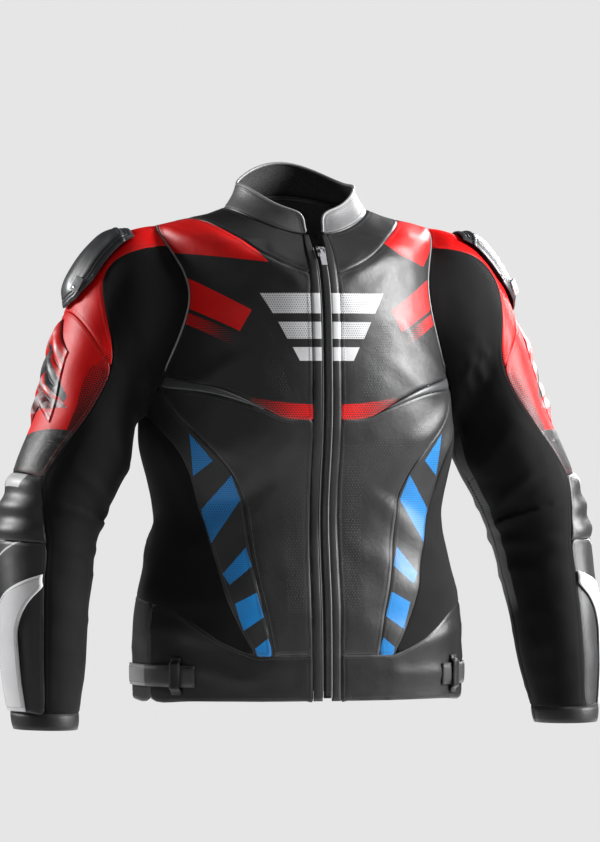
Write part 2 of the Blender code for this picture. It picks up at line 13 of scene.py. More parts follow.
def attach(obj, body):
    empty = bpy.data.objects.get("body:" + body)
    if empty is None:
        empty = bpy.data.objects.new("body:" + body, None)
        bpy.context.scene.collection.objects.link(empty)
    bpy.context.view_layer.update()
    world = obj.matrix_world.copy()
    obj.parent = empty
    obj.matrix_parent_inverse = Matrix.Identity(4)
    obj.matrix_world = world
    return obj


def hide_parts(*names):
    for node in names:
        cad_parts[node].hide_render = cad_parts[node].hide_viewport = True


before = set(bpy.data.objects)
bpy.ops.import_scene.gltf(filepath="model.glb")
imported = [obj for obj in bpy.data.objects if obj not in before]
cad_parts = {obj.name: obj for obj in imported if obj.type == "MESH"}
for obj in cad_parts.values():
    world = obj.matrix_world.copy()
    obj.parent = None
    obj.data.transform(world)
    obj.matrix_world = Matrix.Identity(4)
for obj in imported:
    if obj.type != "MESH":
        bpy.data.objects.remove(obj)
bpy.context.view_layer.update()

# ---------------- torso leather
# The fronts of the trunk: two chest panels, two belly panels and two small wedges of cowhide about
# 1.6 mm thick, sewn edge to edge. Each keeps the outline of its CAD solid, is rounded through that
# solid's points and turns down at its cut edge where the seam pulls it in; the chest and belly panels also
# get their folds.

MM = 0.001
LEATHER_WALL = 1.6 * MM
STRETCH_WALL = 1.2 * MM
TRUNK = (   # level, half width and half depth of the trunk, in metres
    (-0.57, 0.200, 0.129), (-0.466, 0.199, 0.126), (-0.416, 0.191, 0.120), (-0.366, 0.178, 0.113),
    (-0.316, 0.180, 0.116), (-0.266, 0.193, 0.125), (-0.216, 0.191, 0.131), (-0.116, 0.181, 0.133),
    (-0.04, 0.172, 0.124), (0.03, 0.134, 0.106))
WALL_ANGLES = (66, 58, 50, 42, 36, 30, 25)    # degrees tried as the cut edge of a panel's wall
ONE_SIDE = 0.54                               # of a solid's faces, at most, lie on its outer side
SHORTEST_RING = 10                            # points in a cut edge, so that flaws aren't taken for one
EVENING_ROUNDS = {"chest": 14, "back_upper": 14, "side": 8, "shoulder_leather": 8, "sleeve_front": 3,
                  "sleeve_back": 3}


def coordinates(mesh):
    flat = np.zeros(len(mesh.vertices) * 3)
    mesh.vertices.foreach_get("co", flat)
    return flat.reshape(-1, 3)


def put(mesh, points):
    mesh.vertices.foreach_set("co", np.asarray(points, float).ravel())
    mesh.update()


def normals_of(mesh):
    flat = np.zeros(len(mesh.vertices) * 3, np.float32)
    mesh.vertex_normals.foreach_get("vector", flat)
    return flat.reshape(-1, 3).astype(float)


def linked(name, data):
    """An object of the scene, at the origin."""
    made = bpy.data.objects.new(name, data)
    bpy.context.scene.collection.objects.link(made)
    return made


def mesh_from(bm, name):
    mesh = bpy.data.meshes.new(name)
    bm.to_mesh(mesh)
    bm.free()
    return mesh


def surface_of(mesh):
    """A search tree of the mesh's faces."""
    return BVHTree.FromPolygons([Vector(p) for p in coordinates(mesh)],
                                [list(polygon.vertices) for polygon in mesh.polygons])


def new_piece(name, mesh, finish):
    """An object that rides on the jacket, with the given finish as its material."""
    mesh.materials.clear()
    mesh.materials.append(finish)
    mesh.polygons.foreach_set("use_smooth", [True] * len(mesh.polygons))
    piece = linked(name, mesh)
    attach(piece, "jacket")
    return piece


def evaluated(piece):
    """The piece's mesh with its modifiers applied."""
    graph = bpy.context.evaluated_depsgraph_get()
    graph.update()
    return bpy.data.meshes.new_from_object(piece.evaluated_get(graph))


def on_trunk(points):
    """Way round the trunk from its front centre, to the wearer's left, and the height."""
    levels, halves, depths = np.array(TRUNK).T
    half = np.interp(points[:, 2], levels, halves)
    depth = np.interp(points[:, 2], levels, depths)
    turn = np.arctan2(points[:, 0] / half, -points[:, 1] / depth)
    swept = turn[:, None] * ((np.arange(24) + 0.5) / 24)
    round_way = np.hypot(half[:, None] * np.cos(swept), depth[:, None] * np.sin(swept)).mean(1) * turn
    return round_way, points[:, 2], points * (0, 0, 1)


def face_layers(bm, steepest):
    """The faces in groups that are bounded by edges steeper than an angle."""
    unseen, layers = set(bm.faces), []
    while unseen:
        layer, growing = [], [unseen.pop()]
        while growing:
            face = growing.pop()
            layer.append(face)
            for edge in face.edges:
                if edge.is_manifold and edge.calc_face_angle(0) < math.radians(steepest):
                    for other in edge.link_faces:
                        if other in unseen:
                            unseen.remove(other)
                            growing.append(other)
        layers.append(layer)
    return layers


def outer_skin(name, place):
    """The outer face of a cloth solid as quads, without its wall, its points evened out on it."""
    bm = bmesh.new()
    bm.from_mesh(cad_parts[name].data)
    bmesh.ops.remove_doubles(bm, verts=bm.verts, dist=0.02 * MM)
    for angle in WALL_ANGLES:
        layers = face_layers(bm, angle)
        if max(len(layer) for layer in layers) < ONE_SIDE * len(bm.faces):
            break

    def outwardness(layer):
        centres = np.array([face.calc_center_median() for face in layer])
        facing = np.array([face.normal for face in layer])
        areas = np.array([face.calc_area() for face in layer])
        spoke = centres - place(centres)[2]
        return (areas * (facing * spoke).sum(1) / np.linalg.norm(spoke, axis=1)).sum()

    keep = set(max(layers, key=outwardness))
    bmesh.ops.delete(bm, geom=[face for face in bm.faces if face not in keep], context="FACES")
    bmesh.ops.holes_fill(bm, edges=[edge for edge in bm.edges if edge.is_boundary], sides=9)
    surface = BVHTree.FromBMesh(bm)
    bmesh.ops.join_triangles(bm, faces=bm.faces, angle_face_threshold=math.pi,
                             angle_shape_threshold=math.pi)
    bmesh.ops.remove_doubles(bm, verts=[v for v in bm.verts if not v.is_boundary], dist=1.0 * MM)
    loose = [vert for vert in bm.verts if not vert.is_boundary]
    for _ in range(EVENING_ROUNDS.get(name.rstrip("lr").rstrip("_"), 0)):
        bmesh.ops.smooth_vert(bm, verts=loose, factor=0.5, use_axis_x=True, use_axis_y=True,
                              use_axis_z=True)
        for vert in loose:
            vert.co = surface.find_nearest(vert.co)[0]
    return bm


def cut_edges(mesh):
    """The panel's cut edges as rings of point numbers, with the cloth on their left."""
    counts, follow = {}, {}
    for polygon in mesh.polygons:
        for key in polygon.edge_keys:
            counts[key] = counts.get(key, 0) + 1
    for polygon in mesh.polygons:
        corners = list(polygon.vertices)
        for first, second in zip(corners, corners[1:] + corners[:1]):
            if counts[min(first, second), max(first, second)] == 1:
                follow[first] = second
    rings = []
    while follow:
        first, here = follow.popitem()
        ring = [first]
        while here in follow:
            ring.append(here)
            here = follow.pop(here)
        if len(ring) >= SHORTEST_RING:
            rings.append(ring)
    return rings


def rounded(name, mesh, levels):
    """Round a mesh through its own points: its cage moves out until the rounded skin nears them.

    Only the cut edge also moves along the cloth, so that it keeps to the seam.
    """
    piece = linked(name, mesh)
    rounding = piece.modifiers.new("rounding", "SUBSURF")
    rounding.boundary_smooth = "PRESERVE_CORNERS"
    rounding.levels = rounding.render_levels = 1
    goal, facing = coordinates(mesh), normals_of(mesh)
    cage = goal.copy()
    seam = np.concatenate(cut_edges(mesh))
    for _ in range(2):
        met = evaluated(piece)
        step = 0.8 * (goal - coordinates(met)[:len(goal)])
        outward = facing * (facing * step).sum(1)[:, None]
        outward[seam] = step[seam]
        cage += outward
        put(mesh, cage)
        bpy.data.meshes.remove(met)
    rounding.levels = rounding.render_levels = levels
    fine = evaluated(piece)
    bpy.data.objects.remove(piece)
    return fine


def to_edge(points, rings):
    """Distance of each point to the nearest of the rings, which are arrays of places."""
    first = np.concatenate(rings)
    step = np.concatenate([np.roll(ring, -1, axis=0) for ring in rings]) - first
    size = np.maximum((step**2).sum(1), 1e-12)
    nearest = np.full(len(points), 1e9)
    for start in range(0, len(points), 2000):
        block = points[start:start + 2000, None]
        share = np.clip(((block - first) * step).sum(2) / size, 0, 1)
        away = np.linalg.norm(block - first - share[:, :, None] * step, axis=2)
        nearest[start:start + 2000] = away.min(1)
    return nearest


def smooth(low, high, value):
    share = np.clip((value - low) / (high - low), 0, 1)
    return share * share * (3 - 2 * share)


def creased(across, along, folds):
    """Height that a table of soft folds adds at each place of the cloth."""
    height = np.zeros(len(across))
    for x0, z0, x1, z1, width, rise in np.array(folds) * MM:
        length = math.hypot(x1 - x0, z1 - z0)
        tx, tz = (x1 - x0) / length, (z1 - z0) / length
        way = (across - x0) * tx + (along - z0) * tz
        off = (along - z0) * tx - (across - x0) * tz
        off = off + 0.35 * width * np.sin(way / length * 4.4 + 37 * x0 + 51 * z0)
        share = way / length
        ends = smooth(-0.12, 0.3, share) * (1 - smooth(0.7, 1.12, share))
        q = off / (width * (0.75 + 0.5 * np.sin(math.pi * np.clip(share, 0, 1))))
        height += rise * ends * (1 - 0.7 * q * q) * np.exp(-q * q)
    return height


def uneven(points, size, seed):
    """Slow unevenness of worn leather, from -1 to 1."""
    shift = Vector((seed, 2.7 * seed, -1.3 * seed))
    return np.array([noise.noise(Vector(p) / size + shift) for p in points])


# Folds of the trunk in mm: the way round from the front centre and the height of both ends, half the
# width and the rise. The right half has its own, a little different.
TRUNK_FOLDS_LEFT = (
    # way round and height or way along, of one end and the other, half width, rise
    (186, -205, 85, -170, 13, 2.2),
    (190, -222, 100, -262, 12, 2),
    (176, -180, 105, -120, 11, 1.6),
    (200, -250, 130, -335, 14, 2.2),
    (60, -330, 165, -395, 15, 2.4),
    (50, -300, 150, -350, 12, -1.8),
    (70, -420, 190, -440, 13, 2.2),
    (40, -462, 150, -482, 12, -1.6),
    (30, -375, 100, -420, 13, 1.5),
    (100, -505, 230, -478, 10, 2),
    (230, -395, 300, -350, 13, 2.5),
    (215, -350, 300, -372, 11, -2),
    (60, -528, 170, -540, 9, 1.4),
    (190, -520, 290, -500, 10, 1.8),
    (330, -340, 430, -320, 18, 3),
    (300, -380, 440, -366, 16, -2.6),
    (320, -430, 450, -420, 18, 2.8),
    (300, -290, 400, -250, 16, 2.2),
    (340, -100, 400, -170, 18, 2.2),
    (360, -530, 480, -520, 12, 1.6),
    (35, -70, 90, -40, 9, 1.6),
    (30, -58, 70, -24, 7, 1.4),
    (85, -12, 150, -30, 5, 1.1),
    (90, -26, 152, -44, 5, -1),
    (150, -150, 190, -182, 8, 1.4),
)
TRUNK_FOLDS_RIGHT = (
    # way round and height or way along, of one end and the other, half width, rise
    (190, -200, 92, -158, 12, 2),
    (186, -230, 95, -276, 13, 2.2),
    (202, -262, 138, -350, 13, 2),
    (70, -345, 170, -385, 14, 2.2),
    (58, -310, 140, -338, 12, -1.6),
    (60, -432, 180, -450, 12, 2),
    (45, -476, 140, -470, 11, -1.4),
    (110, -500, 225, -470, 11, 2.2),
    (228, -402, 296, -362, 14, 2.5),
    (210, -340, 290, -366, 11, -1.8),
    (70, -540, 160, -526, 10, 1.4),
    (200, -515, 300, -505, 10, 1.6),
    (335, -330, 430, -335, 17, 2.8),
    (310, -372, 450, -384, 16, -2.4),
    (315, -440, 440, -425, 17, 2.6),
    (310, -280, 410, -262, 16, 2),
    (350, -110, 410, -160, 16, 2),
    (370, -524, 470, -532, 12, 1.6),
    (30, -78, 85, -34, 10, 1.8),
    (40, -50, 80, -18, 7, 1.3),
    (88, -20, 156, -26, 5, 1),
    (94, -140, 170, -120, 9, 1.3),
)


def trunk_relief(points, across, along, edge):
    left = creased(across, along, TRUNK_FOLDS_LEFT)
    right = creased(-across, along, TRUNK_FOLDS_RIGHT)
    slow = 0.0011 * uneven(points, 0.055, 3.1) + 0.0005 * uneven(points, 0.021, 8.4)
    calm = 1 - smooth(0.02, 0.06, along)
    return (np.where(across > 0, left, right) + slow) * calm * smooth(0.006, 0.03, np.abs(across))


class Wire:
    """A value in a material. Python's operators add its Math nodes; node() adds any other node."""

    def __init__(self, tree, socket=None):
        self.tree = tree
        self.socket = socket

    def node(self, kind, settings=None, sockets=None, output=0):
        made = self.tree.nodes.new("ShaderNode" + kind)
        for name, value in (settings or {}).items():
            setattr(made, name, value)
        for name, value in (sockets or {}).items():
            if isinstance(value, Wire):
                self.tree.links.new(value.socket, made.inputs[name])
            else:
                made.inputs[name].default_value = value
        return Wire(self.tree, made.outputs[output])

    def maths(self, operation, *others):
        return self.node("Math", {"operation": operation}, dict(enumerate((self, *others))))

    __add__ = __radd__ = partialmethod(maths, "ADD")
    __mul__ = __rmul__ = partialmethod(maths, "MULTIPLY")
    __sub__ = partialmethod(maths, "SUBTRACT")
    __truediv__ = partialmethod(maths, "DIVIDE")
    __abs__ = partialmethod(maths, "ABSOLUTE")
    smaller = partialmethod(maths, "MINIMUM")
    larger = partialmethod(maths, "MAXIMUM")
    sine = partialmethod(maths, "SINE")
    root = partialmethod(maths, "SQRT")
    floor = partialmethod(maths, "FLOOR")
    fraction = partialmethod(maths, "FRACT")

    def __rsub__(self, other):
        return self.node("Math", {"operation": "SUBTRACT"}, {0: other, 1: self})

    def noise(self, scale, detail=2.0, distortion=0.0):
        """Noise over the place that this wire gives."""
        return self.node("TexNoise", None, {"Vector": self, "Scale": scale, "Detail": detail,
                                            "Distortion": distortion})

    def cells(self, scale):
        """Distance to the edges of cells over the place that this wire gives."""
        return self.node("TexVoronoi", {"feature": "DISTANCE_TO_EDGE"}, {"Vector": self, "Scale": scale})

    def raised(self, strength, depth):
        """The normal of a surface that has this height."""
        return self.node("Bump", None, {"Strength": strength, "Distance": depth, "Height": self})

    def rise(self, low, high):
        """0 at low and 1 at high, on either side of each other, smoothly between."""
        return self.node("MapRange", {"interpolation_type": "SMOOTHSTEP"},
                         {"Value": self, "From Min": low, "From Max": high})

    def mixed(self, first, second):
        """The first colour where this is 0 and the second where it is 1."""
        colours = [tone if isinstance(tone, Wire) else (*tone, 1) for tone in (first, second)]
        return self.node("Mix", {"data_type": "RGBA"}, {0: self, 6: colours[0], 7: colours[1]}, output=2)


Place = namedtuple("Place", "spot x z across along edge")


def new_finish(name, **sockets):
    """A material, its shader with constant sockets set, and a wire of the place in the jacket."""
    material = bpy.data.materials.new(name)
    material.use_nodes = True
    shader = material.node_tree.nodes["Principled BSDF"]
    for socket, value in sockets.items():
        shader.inputs[socket.replace("_", " ")].default_value = value
    return material, shader, Wire(material.node_tree).node("TexCoord", output=3)


def feed(shader, **wires):
    for socket, wire in wires.items():
        wire.tree.links.new(wire.socket, shader.inputs[socket.replace("_", " ")])


def places(spot):
    """Wires for the place in the jacket, the place on the cloth and the way to its cut edge."""
    cloth = spot.node("UVMap", {"uv_map": "cloth"})
    return Place(spot, *(spot.node("SeparateXYZ", None, {0: spot}, output=n) for n in (0, 2)),
                 *(spot.node("SeparateXYZ", None, {0: cloth}, output=n) for n in (0, 1)),
                 spot.node("Attribute", {"attribute_name": "edge"}, output=2))


def dots(at, pitch, radius):
    """Staggered round dots on the cloth, 1 in them and 0 between; the radius may be a wire."""
    row = at.along / (0.866 * pitch)
    column = at.across / pitch + row.floor() * 0.5
    side = column.fraction() - 0.5
    up = (row.fraction() - 0.5) * 0.866
    away = (side * side + up * up).root() * pitch
    return (away - radius).rise(0.15 * MM, -0.15 * MM)


def within(x, z, corners):
    """Distance into a patch with straight sides, for wires or arrays of places; corners in mm."""
    pairs = list(zip(corners, corners[1:] + corners[:1]))
    sense = math.copysign(1, sum(ax * bz - bx * az for (ax, az), (bx, bz) in pairs))
    deepest = None
    for (ax, az), (bx, bz) in pairs:
        length = math.hypot(bx - ax, bz - az) * sense
        nx, nz = (az - bz) / length, (bx - ax) / length
        inside = x * nx + z * nz + (-(ax * nx + az * nz) * MM)
        if deepest is None:
            deepest = inside
        else:
            deepest = deepest.smaller(inside) if isinstance(x, Wire) else np.minimum(deepest, inside)
    return deepest


def filled(x, z, *patches):
    """1 in any of the patches and 0 outside them."""
    depth = within(x, z, patches[0])
    for patch in patches[1:]:
        depth = depth.larger(within(x, z, patch))
    return depth.rise(-0.25 * MM, 0.25 * MM)


BLACK_HIDE = (0.015, 0.015, 0.0155)
RED_HIDE = (0.66, 0.004, 0.004)
WHITE_HIDE = (0.50, 0.50, 0.51)
BLUE_PRINT = (0.006, 0.155, 0.420)
INK = (0.006, 0.006, 0.006)


def leather(name, tone=BLACK_HIDE, decorate=None, holes=None, edge_wear_and_highlight=0.5, roughness=0.42, gloss=0.32):
    """Full-grain hide: fine pebbled grain, slow change of tone, and pale edges, part rubbed wear and part
    painted highlight.

    decorate takes the colour and the place and returns a new colour; holes takes the place and returns
    where the hide is punched.
    """
    material, shader, spot = new_finish(name, Specular_IOR_Level=gloss)
    at = places(spot)
    slow, fine, grain, lines = spot.noise(22, 4), spot.noise(260, 3), spot.cells(900), spot.noise(75, 5, 1.2)
    colour = spot.node("RGB")
    colour.socket.default_value = (*tone, 1)
    if decorate:
        colour = decorate(colour, at)
    colour = spot.node("HueSaturation", None, {"Value": 0.80 + slow * 0.40, "Color": colour})
    # Pale band inside each cut edge: partly rubbed wear, partly a painted highlight along the seams.
    rubbed_and_highlit = at.edge.rise(3.0 * MM, 0.6 * MM) * slow.rise(0.40, 0.62) * edge_wear_and_highlight
    pale = tuple(0.55 * part + 0.13 for part in tone)
    colour = (rubbed_and_highlit * 0.5).mixed(colour, pale)
    relief = slow * 0.25 + fine * 0.35 + grain * 0.9 + lines.rise(0.35, 0.75) * 0.55
    if holes:
        punched = holes(at)
        colour = (punched * 0.9).mixed(colour, INK)
        relief = relief - punched * 2.5
    feed(shader, Base_Color=colour, Roughness=roughness - 0.12 + slow * 0.15 + fine * 0.10 - rubbed_and_highlit * 0.08,
         Normal=relief.raised(0.42, 0.35 * MM))
    return material


def finish_lining():
    """Inner mesh lining, seen only through the neck, hem and cuffs."""
    material, shader, spot = new_finish("lining_mesh", Roughness=0.9)
    net = spot.cells(420)
    feed(shader, Base_Color=net.rise(0.05, 0.3).mixed((0.030, 0.030, 0.032), INK),
         Normal=net.raised(0.6, 0.4 * MM))
    return material


def finish_thread(name, tone):
    """Polyester sewing thread with its twist."""
    material, shader, spot = new_finish(name, Roughness=0.6)
    dark = tuple(0.6 * part for part in tone)
    feed(shader, Base_Color=spot.noise(1500).rise(0.3, 0.7).mixed(dark, tone))
    return material


LINING = finish_lining()
BLACK_THREAD = finish_thread("black_thread", (0.045, 0.045, 0.048))
RED_THREAD = finish_thread("red_thread", (0.42, 0.012, 0.012))
PANELS, RIMS = {}, {}
STITCH_PITCH, STITCH_INSET, STITCH_LIFT = 3.4 * MM, 4.2 * MM, 0.1 * MM
STITCH_HALVES = (1.15 * MM, 0.36 * MM, 0.30 * MM)    # half its length, width and height
EDGE_TURN = 3.0 * MM                                 # how far in a cut edge starts to turn down
SEWN_DIP, SEWN_HALF = 5.0 * MM, 2.0 * MM             # where the stitches pull a panel in, and how wide


def add_stitches(name, mesh, rings, thread):
    """A row of small thread loops inside each cut edge, half sunk in the panel."""
    bm = bmesh.new()
    bmesh.ops.create_icosphere(bm, subdivisions=1, radius=1.0)
    bmesh.ops.scale(bm, verts=bm.verts, vec=STITCH_HALVES)
    loop = np.array([vert.co for vert in bm.verts])
    corners = np.array([[vert.index for vert in face.verts] for face in bm.faces])
    bm.free()
    surface = surface_of(mesh)
    stitches, faces = [], []
    for ring, facing, inward in rings:
        row = np.array([surface.find_nearest(Vector(p))[0] for p in ring + inward * STITCH_INSET])
        row = np.vstack((row, row[:1]))
        walked = np.concatenate(([0], np.cumsum(np.linalg.norm(np.diff(row, axis=0), axis=1))))
        middles = np.arange(0.5 * STITCH_PITCH, walked[-1], STITCH_PITCH)

        def on_row(way):
            return np.stack([np.interp(way, walked, part) for part in row.T], 1)

        centres, headings = on_row(middles), on_row(middles + 0.8 * MM) - on_row(middles - 0.8 * MM)
        inside = to_edge(centres, [pair[0] for pair in rings]) > 0.85 * STITCH_INSET
        for centre, heading in zip(centres[inside], headings[inside]):
            hit, upward = surface.find_nearest(Vector(centre))[:2]
            side = upward.cross(Vector(heading))
            if side.length < 1e-6:
                continue
            side.normalize()
            axes = np.array((side.cross(upward), side, upward))
            faces.extend((corners + len(stitches) * len(loop)).tolist())
            stitches.append(loop @ axes + np.array(hit) + STITCH_LIFT * axes[2])
    sewing = bpy.data.meshes.new(name)
    sewing.from_pydata(np.concatenate(stitches).tolist(), [], faces)
    return new_piece(name, sewing, thread)


def dressed(name, mesh, cloth, facing, height, finish, wall, thread):
    """Makes a mesh the piece that replaces a CAD solid: moved out by a height at each point, with its
    cloth coordinates, the distance to its cut edge, its wall and its stitches."""
    points = coordinates(mesh)
    numbers = cut_edges(mesh)
    edge = to_edge(points, [points[ring] for ring in numbers])
    put(mesh, points + facing * height[:, None])
    layer = mesh.uv_layers.new(name="cloth")
    corners = np.zeros(len(mesh.loops), np.int32)
    mesh.loops.foreach_get("vertex_index", corners)
    layer.data.foreach_set("uv", cloth[corners].ravel())
    mesh.attributes.new("edge", "FLOAT", "POINT").data.foreach_set("value", edge)
    piece = new_piece(name + "_piece", mesh, finish)
    mesh.materials.append(LINING)
    thickness = piece.modifiers.new("wall", "SOLIDIFY")
    thickness.thickness = wall
    thickness.offset = -1
    thickness.material_offset = 1
    thickness.material_offset_rim = 0
    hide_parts(name)
    points, facing = coordinates(mesh), normals_of(mesh)
    rings = []
    for ring in numbers:
        headings = np.roll(points[ring], -1, axis=0) - np.roll(points[ring], 1, axis=0)
        inward = np.cross(facing[ring], headings)
        inward /= np.maximum(np.linalg.norm(inward, axis=1), 1e-9)[:, None]
        rings.append((points[ring], facing[ring], inward))
    sewing = [add_stitches(name + "_stitches", mesh, rings, thread)] if thread else []
    PANELS[name], RIMS[name] = piece, rings
    return piece


def panel(name, finish, flat, area, slot="leather_black", wall=LEATHER_WALL, place=on_trunk,
          border=3.2 * MM, levels=2, relief=None, drop=1.0 * MM, thread=None):
    """One cut piece of the jacket, made from its CAD solid's outer face, folded when a relief is given."""
    bm = outer_skin(name, place)
    if border:
        bmesh.ops.inset_region(bm, faces=bm.faces[:], thickness=border, use_boundary=True,
                               use_even_offset=True)
    mesh = rounded(name + "_skin", mesh_from(bm, name + "_skin"), levels)
    mesh.name = name + "_piece"
    points, facing = coordinates(mesh), normals_of(mesh)
    edge = to_edge(points, [points[ring] for ring in cut_edges(mesh)])
    across, along, _ = place(points)
    height = relief(points, across, along, edge) if relief else np.zeros(len(points))
    height -= drop * (1 - smooth(0, EDGE_TURN, edge) + 0.25 * np.exp(-((edge - SEWN_DIP) / SEWN_HALF)**2))
    return dressed(name, mesh, np.stack((across, along), 1), facing, height, finish,
                   wall, thread)


# Printed blocks of the fronts, corners as (x, z) in mm. Those named BOTH take the distance from the
# middle instead of x, so both sides wear them.
SHOULDER_BLOCK_RIGHT = ((-178, -33), (-64, -47), (-100, 2), (-178, 14))
SHOULDER_BLOCK_LEFT = ((78, -18), (106, -37), (142, -50), (160, -31), (168, 5), (110, 6))
RED_BAR_BOTH = ((168, -92), (100, -129), (86, -104), (168, -54))
FADED_BAR_BOTH = ((168, -112), (106, -147), (98, -134), (168, -98))
EMBLEM_BARS = (((-76, -84), (-63, -108), (63, -108), (76, -84)),
               ((-57, -118), (-47, -138), (47, -138), (57, -118)),
               ((-41, -148), (-33, -164), (33, -164), (41, -148)))
CHEST_PUNCHED_BOTH = ((68, -116), (92, -116), (66, -206), (42, -206))
BELLY_PUNCHED_BOTH = (((17, -462), (46, -462), (49, -262), (17, -262)),
                      ((44, -262), (49, -302), (142, -254), (142, -238)))
HALFTONE_PITCH, PUNCH_PITCH = 3.0 * MM, 3.6 * MM


def fronts_print(colour, at):
    """Red shoulder blocks and bars, a stack of white bars and a halftone band above the chest seam."""
    wide = abs(at.x)
    red = filled(at.x, at.z, SHOULDER_BLOCK_RIGHT, SHOULDER_BLOCK_LEFT).larger(
        filled(wide, at.z, RED_BAR_BOTH))
    colour = red.mixed(colour, RED_HIDE)
    fading = dots(at, HALFTONE_PITCH, 2.05 * MM - (wide - 0.098) * 0.022)
    colour = (filled(wide, at.z, FADED_BAR_BOTH) * (1 - fading)).mixed(colour, RED_HIDE)
    band = (at.x * at.x * 1.1 - 0.216 - at.z).rise(-0.25 * MM, 0.25 * MM) * wide.rise(91 * MM, 89 * MM)
    gaps = dots(at, HALFTONE_PITCH, 0.55 * MM + wide * 0.0125)
    colour = (band * (1 - gaps * 0.92)).mixed(colour, RED_HIDE)
    bars = filled(at.x, at.z, EMBLEM_BARS[0], EMBLEM_BARS[1]) * (1 - dots(at, HALFTONE_PITCH, 0.62 * MM))
    return bars.larger(filled(at.x, at.z, EMBLEM_BARS[2])).mixed(colour, WHITE_HIDE)


def chest_holes(at):
    return filled(abs(at.x), at.z, CHEST_PUNCHED_BOTH) * dots(at, PUNCH_PITCH, 0.55 * MM)


def belly_holes(at):
    return filled(abs(at.x), at.z, *BELLY_PUNCHED_BOTH) * dots(at, PUNCH_PITCH, 0.5 * MM)


chest_hide = leather("chest_hide", decorate=fronts_print, holes=chest_holes)
belly_hide = leather("belly_hide", holes=belly_holes)
wedge_hide = leather("wedge_hide", (0.050, 0.051, 0.054), roughness=0.36)
trunk_panel = partial(panel, relief=trunk_relief, thread=BLACK_THREAD)
for side in "lr":
    trunk_panel("chest_" + side, chest_hide, (0.214, 0.243), 0.0345)
    trunk_panel("front_" + side, belly_hide, (0.200, 0.316), 0.0262)
    panel("chest_wedge_" + side, wedge_hide, (0.020, 0.110), 0.0012, border=0)

# ---------------- slanted inserts
# A long leather insert down each side of the belly, from the armpit to the waistband, printed with
# five blue bars; the three upper bars are punched, the two lower ones plain.

INSERT_PUNCHED_BARS = (((156, -250), (131, -282), (150, -300)),
                       ((110, -299), (98, -328), (131, -379), (140, -340)),
                       ((93, -384), (87, -406), (113, -428), (120, -415)))
INSERT_PLAIN_BARS = (((83, -437), (75, -466), (99, -482), (108, -450)),
                     ((71, -491), (62, -515), (82, -517), (86, -503)))


def insert_print(colour, at):
    """Blue bars across the insert, three of them fine net."""
    wide = abs(at.x)
    netted = filled(wide, at.z, *INSERT_PUNCHED_BARS) * (1 - dots(at, HALFTONE_PITCH, 0.62 * MM))
    return netted.larger(filled(wide, at.z, *INSERT_PLAIN_BARS)).mixed(colour, BLUE_PRINT)


insert_hide = leather("insert_hide", decorate=insert_print, edge_wear_and_highlight=0.3)
for side in "lr":
    trunk_panel("insert_" + side, insert_hide, (0.060, 0.360), 0.0139, slot="stretch_blue")

# ---------------- stretch sides
# Dull black stretch knit under each arm, from front seam to back seam, 1.2 mm thick.


def knit(name, tone, strip=None):
    """Ribbed stretch knit: fine raised wales with cross stitches and a soft dull sheen."""
    material, shader, spot = new_finish(name, Roughness=0.85, Specular_IOR_Level=0.14,
                                        Sheen_Weight=0.05, Sheen_Roughness=0.4)
    at = places(spot)
    wales = (at.across * (2 * math.pi / (1.3 * MM))).sine()
    courses = (at.along * (2 * math.pi / (0.9 * MM)) + wales * 0.8).sine()
    value = 0.7 + spot.noise(14, 3) * 0.6
    colour = spot.node("HueSaturation", None, {"Value": value, "Color": (*tone, 1)})
    if strip:
        colour = strip(colour, at)
    feed(shader, Base_Color=colour, Normal=(wales * 0.6 + courses * 0.4).raised(0.3, 0.2 * MM))
    return material


side_knit = knit("side_knit", (0.0045, 0.0045, 0.005))
for side in "lr":
    panel("side_" + side, side_knit, (0.280, 0.357), 0.0437, slot="stretch_black", wall=STRETCH_WALL,
          relief=trunk_relief)

# ---------------- yokes and plackets
# Smooth black leather round the neck, sewn to the chest and the back, and the narrow facing strips
# that carry the zip, each with a pale piped edge beside the teeth.

yoke_hide = leather("yoke_hide", (0.014, 0.014, 0.015), roughness=0.38)
placket_hide = leather("placket_hide", decorate=lambda colour, at: filled(
    at.x, at.z, *EMBLEM_BARS).mixed(colour, WHITE_HIDE))
for side in "lr":
    trunk_panel("yoke_front_" + side, yoke_hide, (0.120, 0.110), 0.0072)
    panel("placket_" + side, placket_hide, (0.012, 0.553), 0.0064, border=0)
trunk_panel("yoke_back", yoke_hide, (0.300, 0.120), 0.0198, drop=0.5 * MM)

# ---------------- back
# Two plain leather panels across the back, the lower one down to the waistband.

back_hide = leather("back_hide")
trunk_panel("back_upper", back_hide, (0.340, 0.170), 0.0529)
trunk_panel("back_lower", back_hide, (0.340, 0.330), 0.1054)

# ---------------- waistband, hip straps and loops
# A leather band round the waist, peaked over each hip, and on each hip a grey adjusting strap that
# runs under two black loops.


def strap_print(colour, at):
    """The strap's loose end is grey fleece, the rest black."""
    return abs(at.across).rise(0.222, 0.226).mixed(colour, (0.165, 0.165, 0.168))


band_hide = leather("band_hide", (0.009, 0.009, 0.0095))
strap_hide = leather("strap_hide", (0.030, 0.030, 0.031), decorate=strap_print, edge_wear_and_highlight=0.8, roughness=0.5)
loop_hide = leather("loop_hide", (0.012, 0.012, 0.012))
for side in "lr":
    trunk_panel("waistband_front_" + side, band_hide, (0.200, 0.113), 0.0158)
    panel("hip_strap_" + side, strap_hide, (0.140, 0.027), 0.0037, slot="leather_white", border=0,
          thread=BLACK_THREAD)
    panel("strap_loop_" + side, loop_hide, (0.012, 0.060), 0.0007, border=0)
trunk_panel("waistband_back", band_hide, (0.600, 0.121), 0.0662)

# ---------------- collar
# A low stand-up collar of grey ribbed punched hide with rounded front ends, its free edge bound with
# a pale leather binding, and a black tape over the neck seam inside.


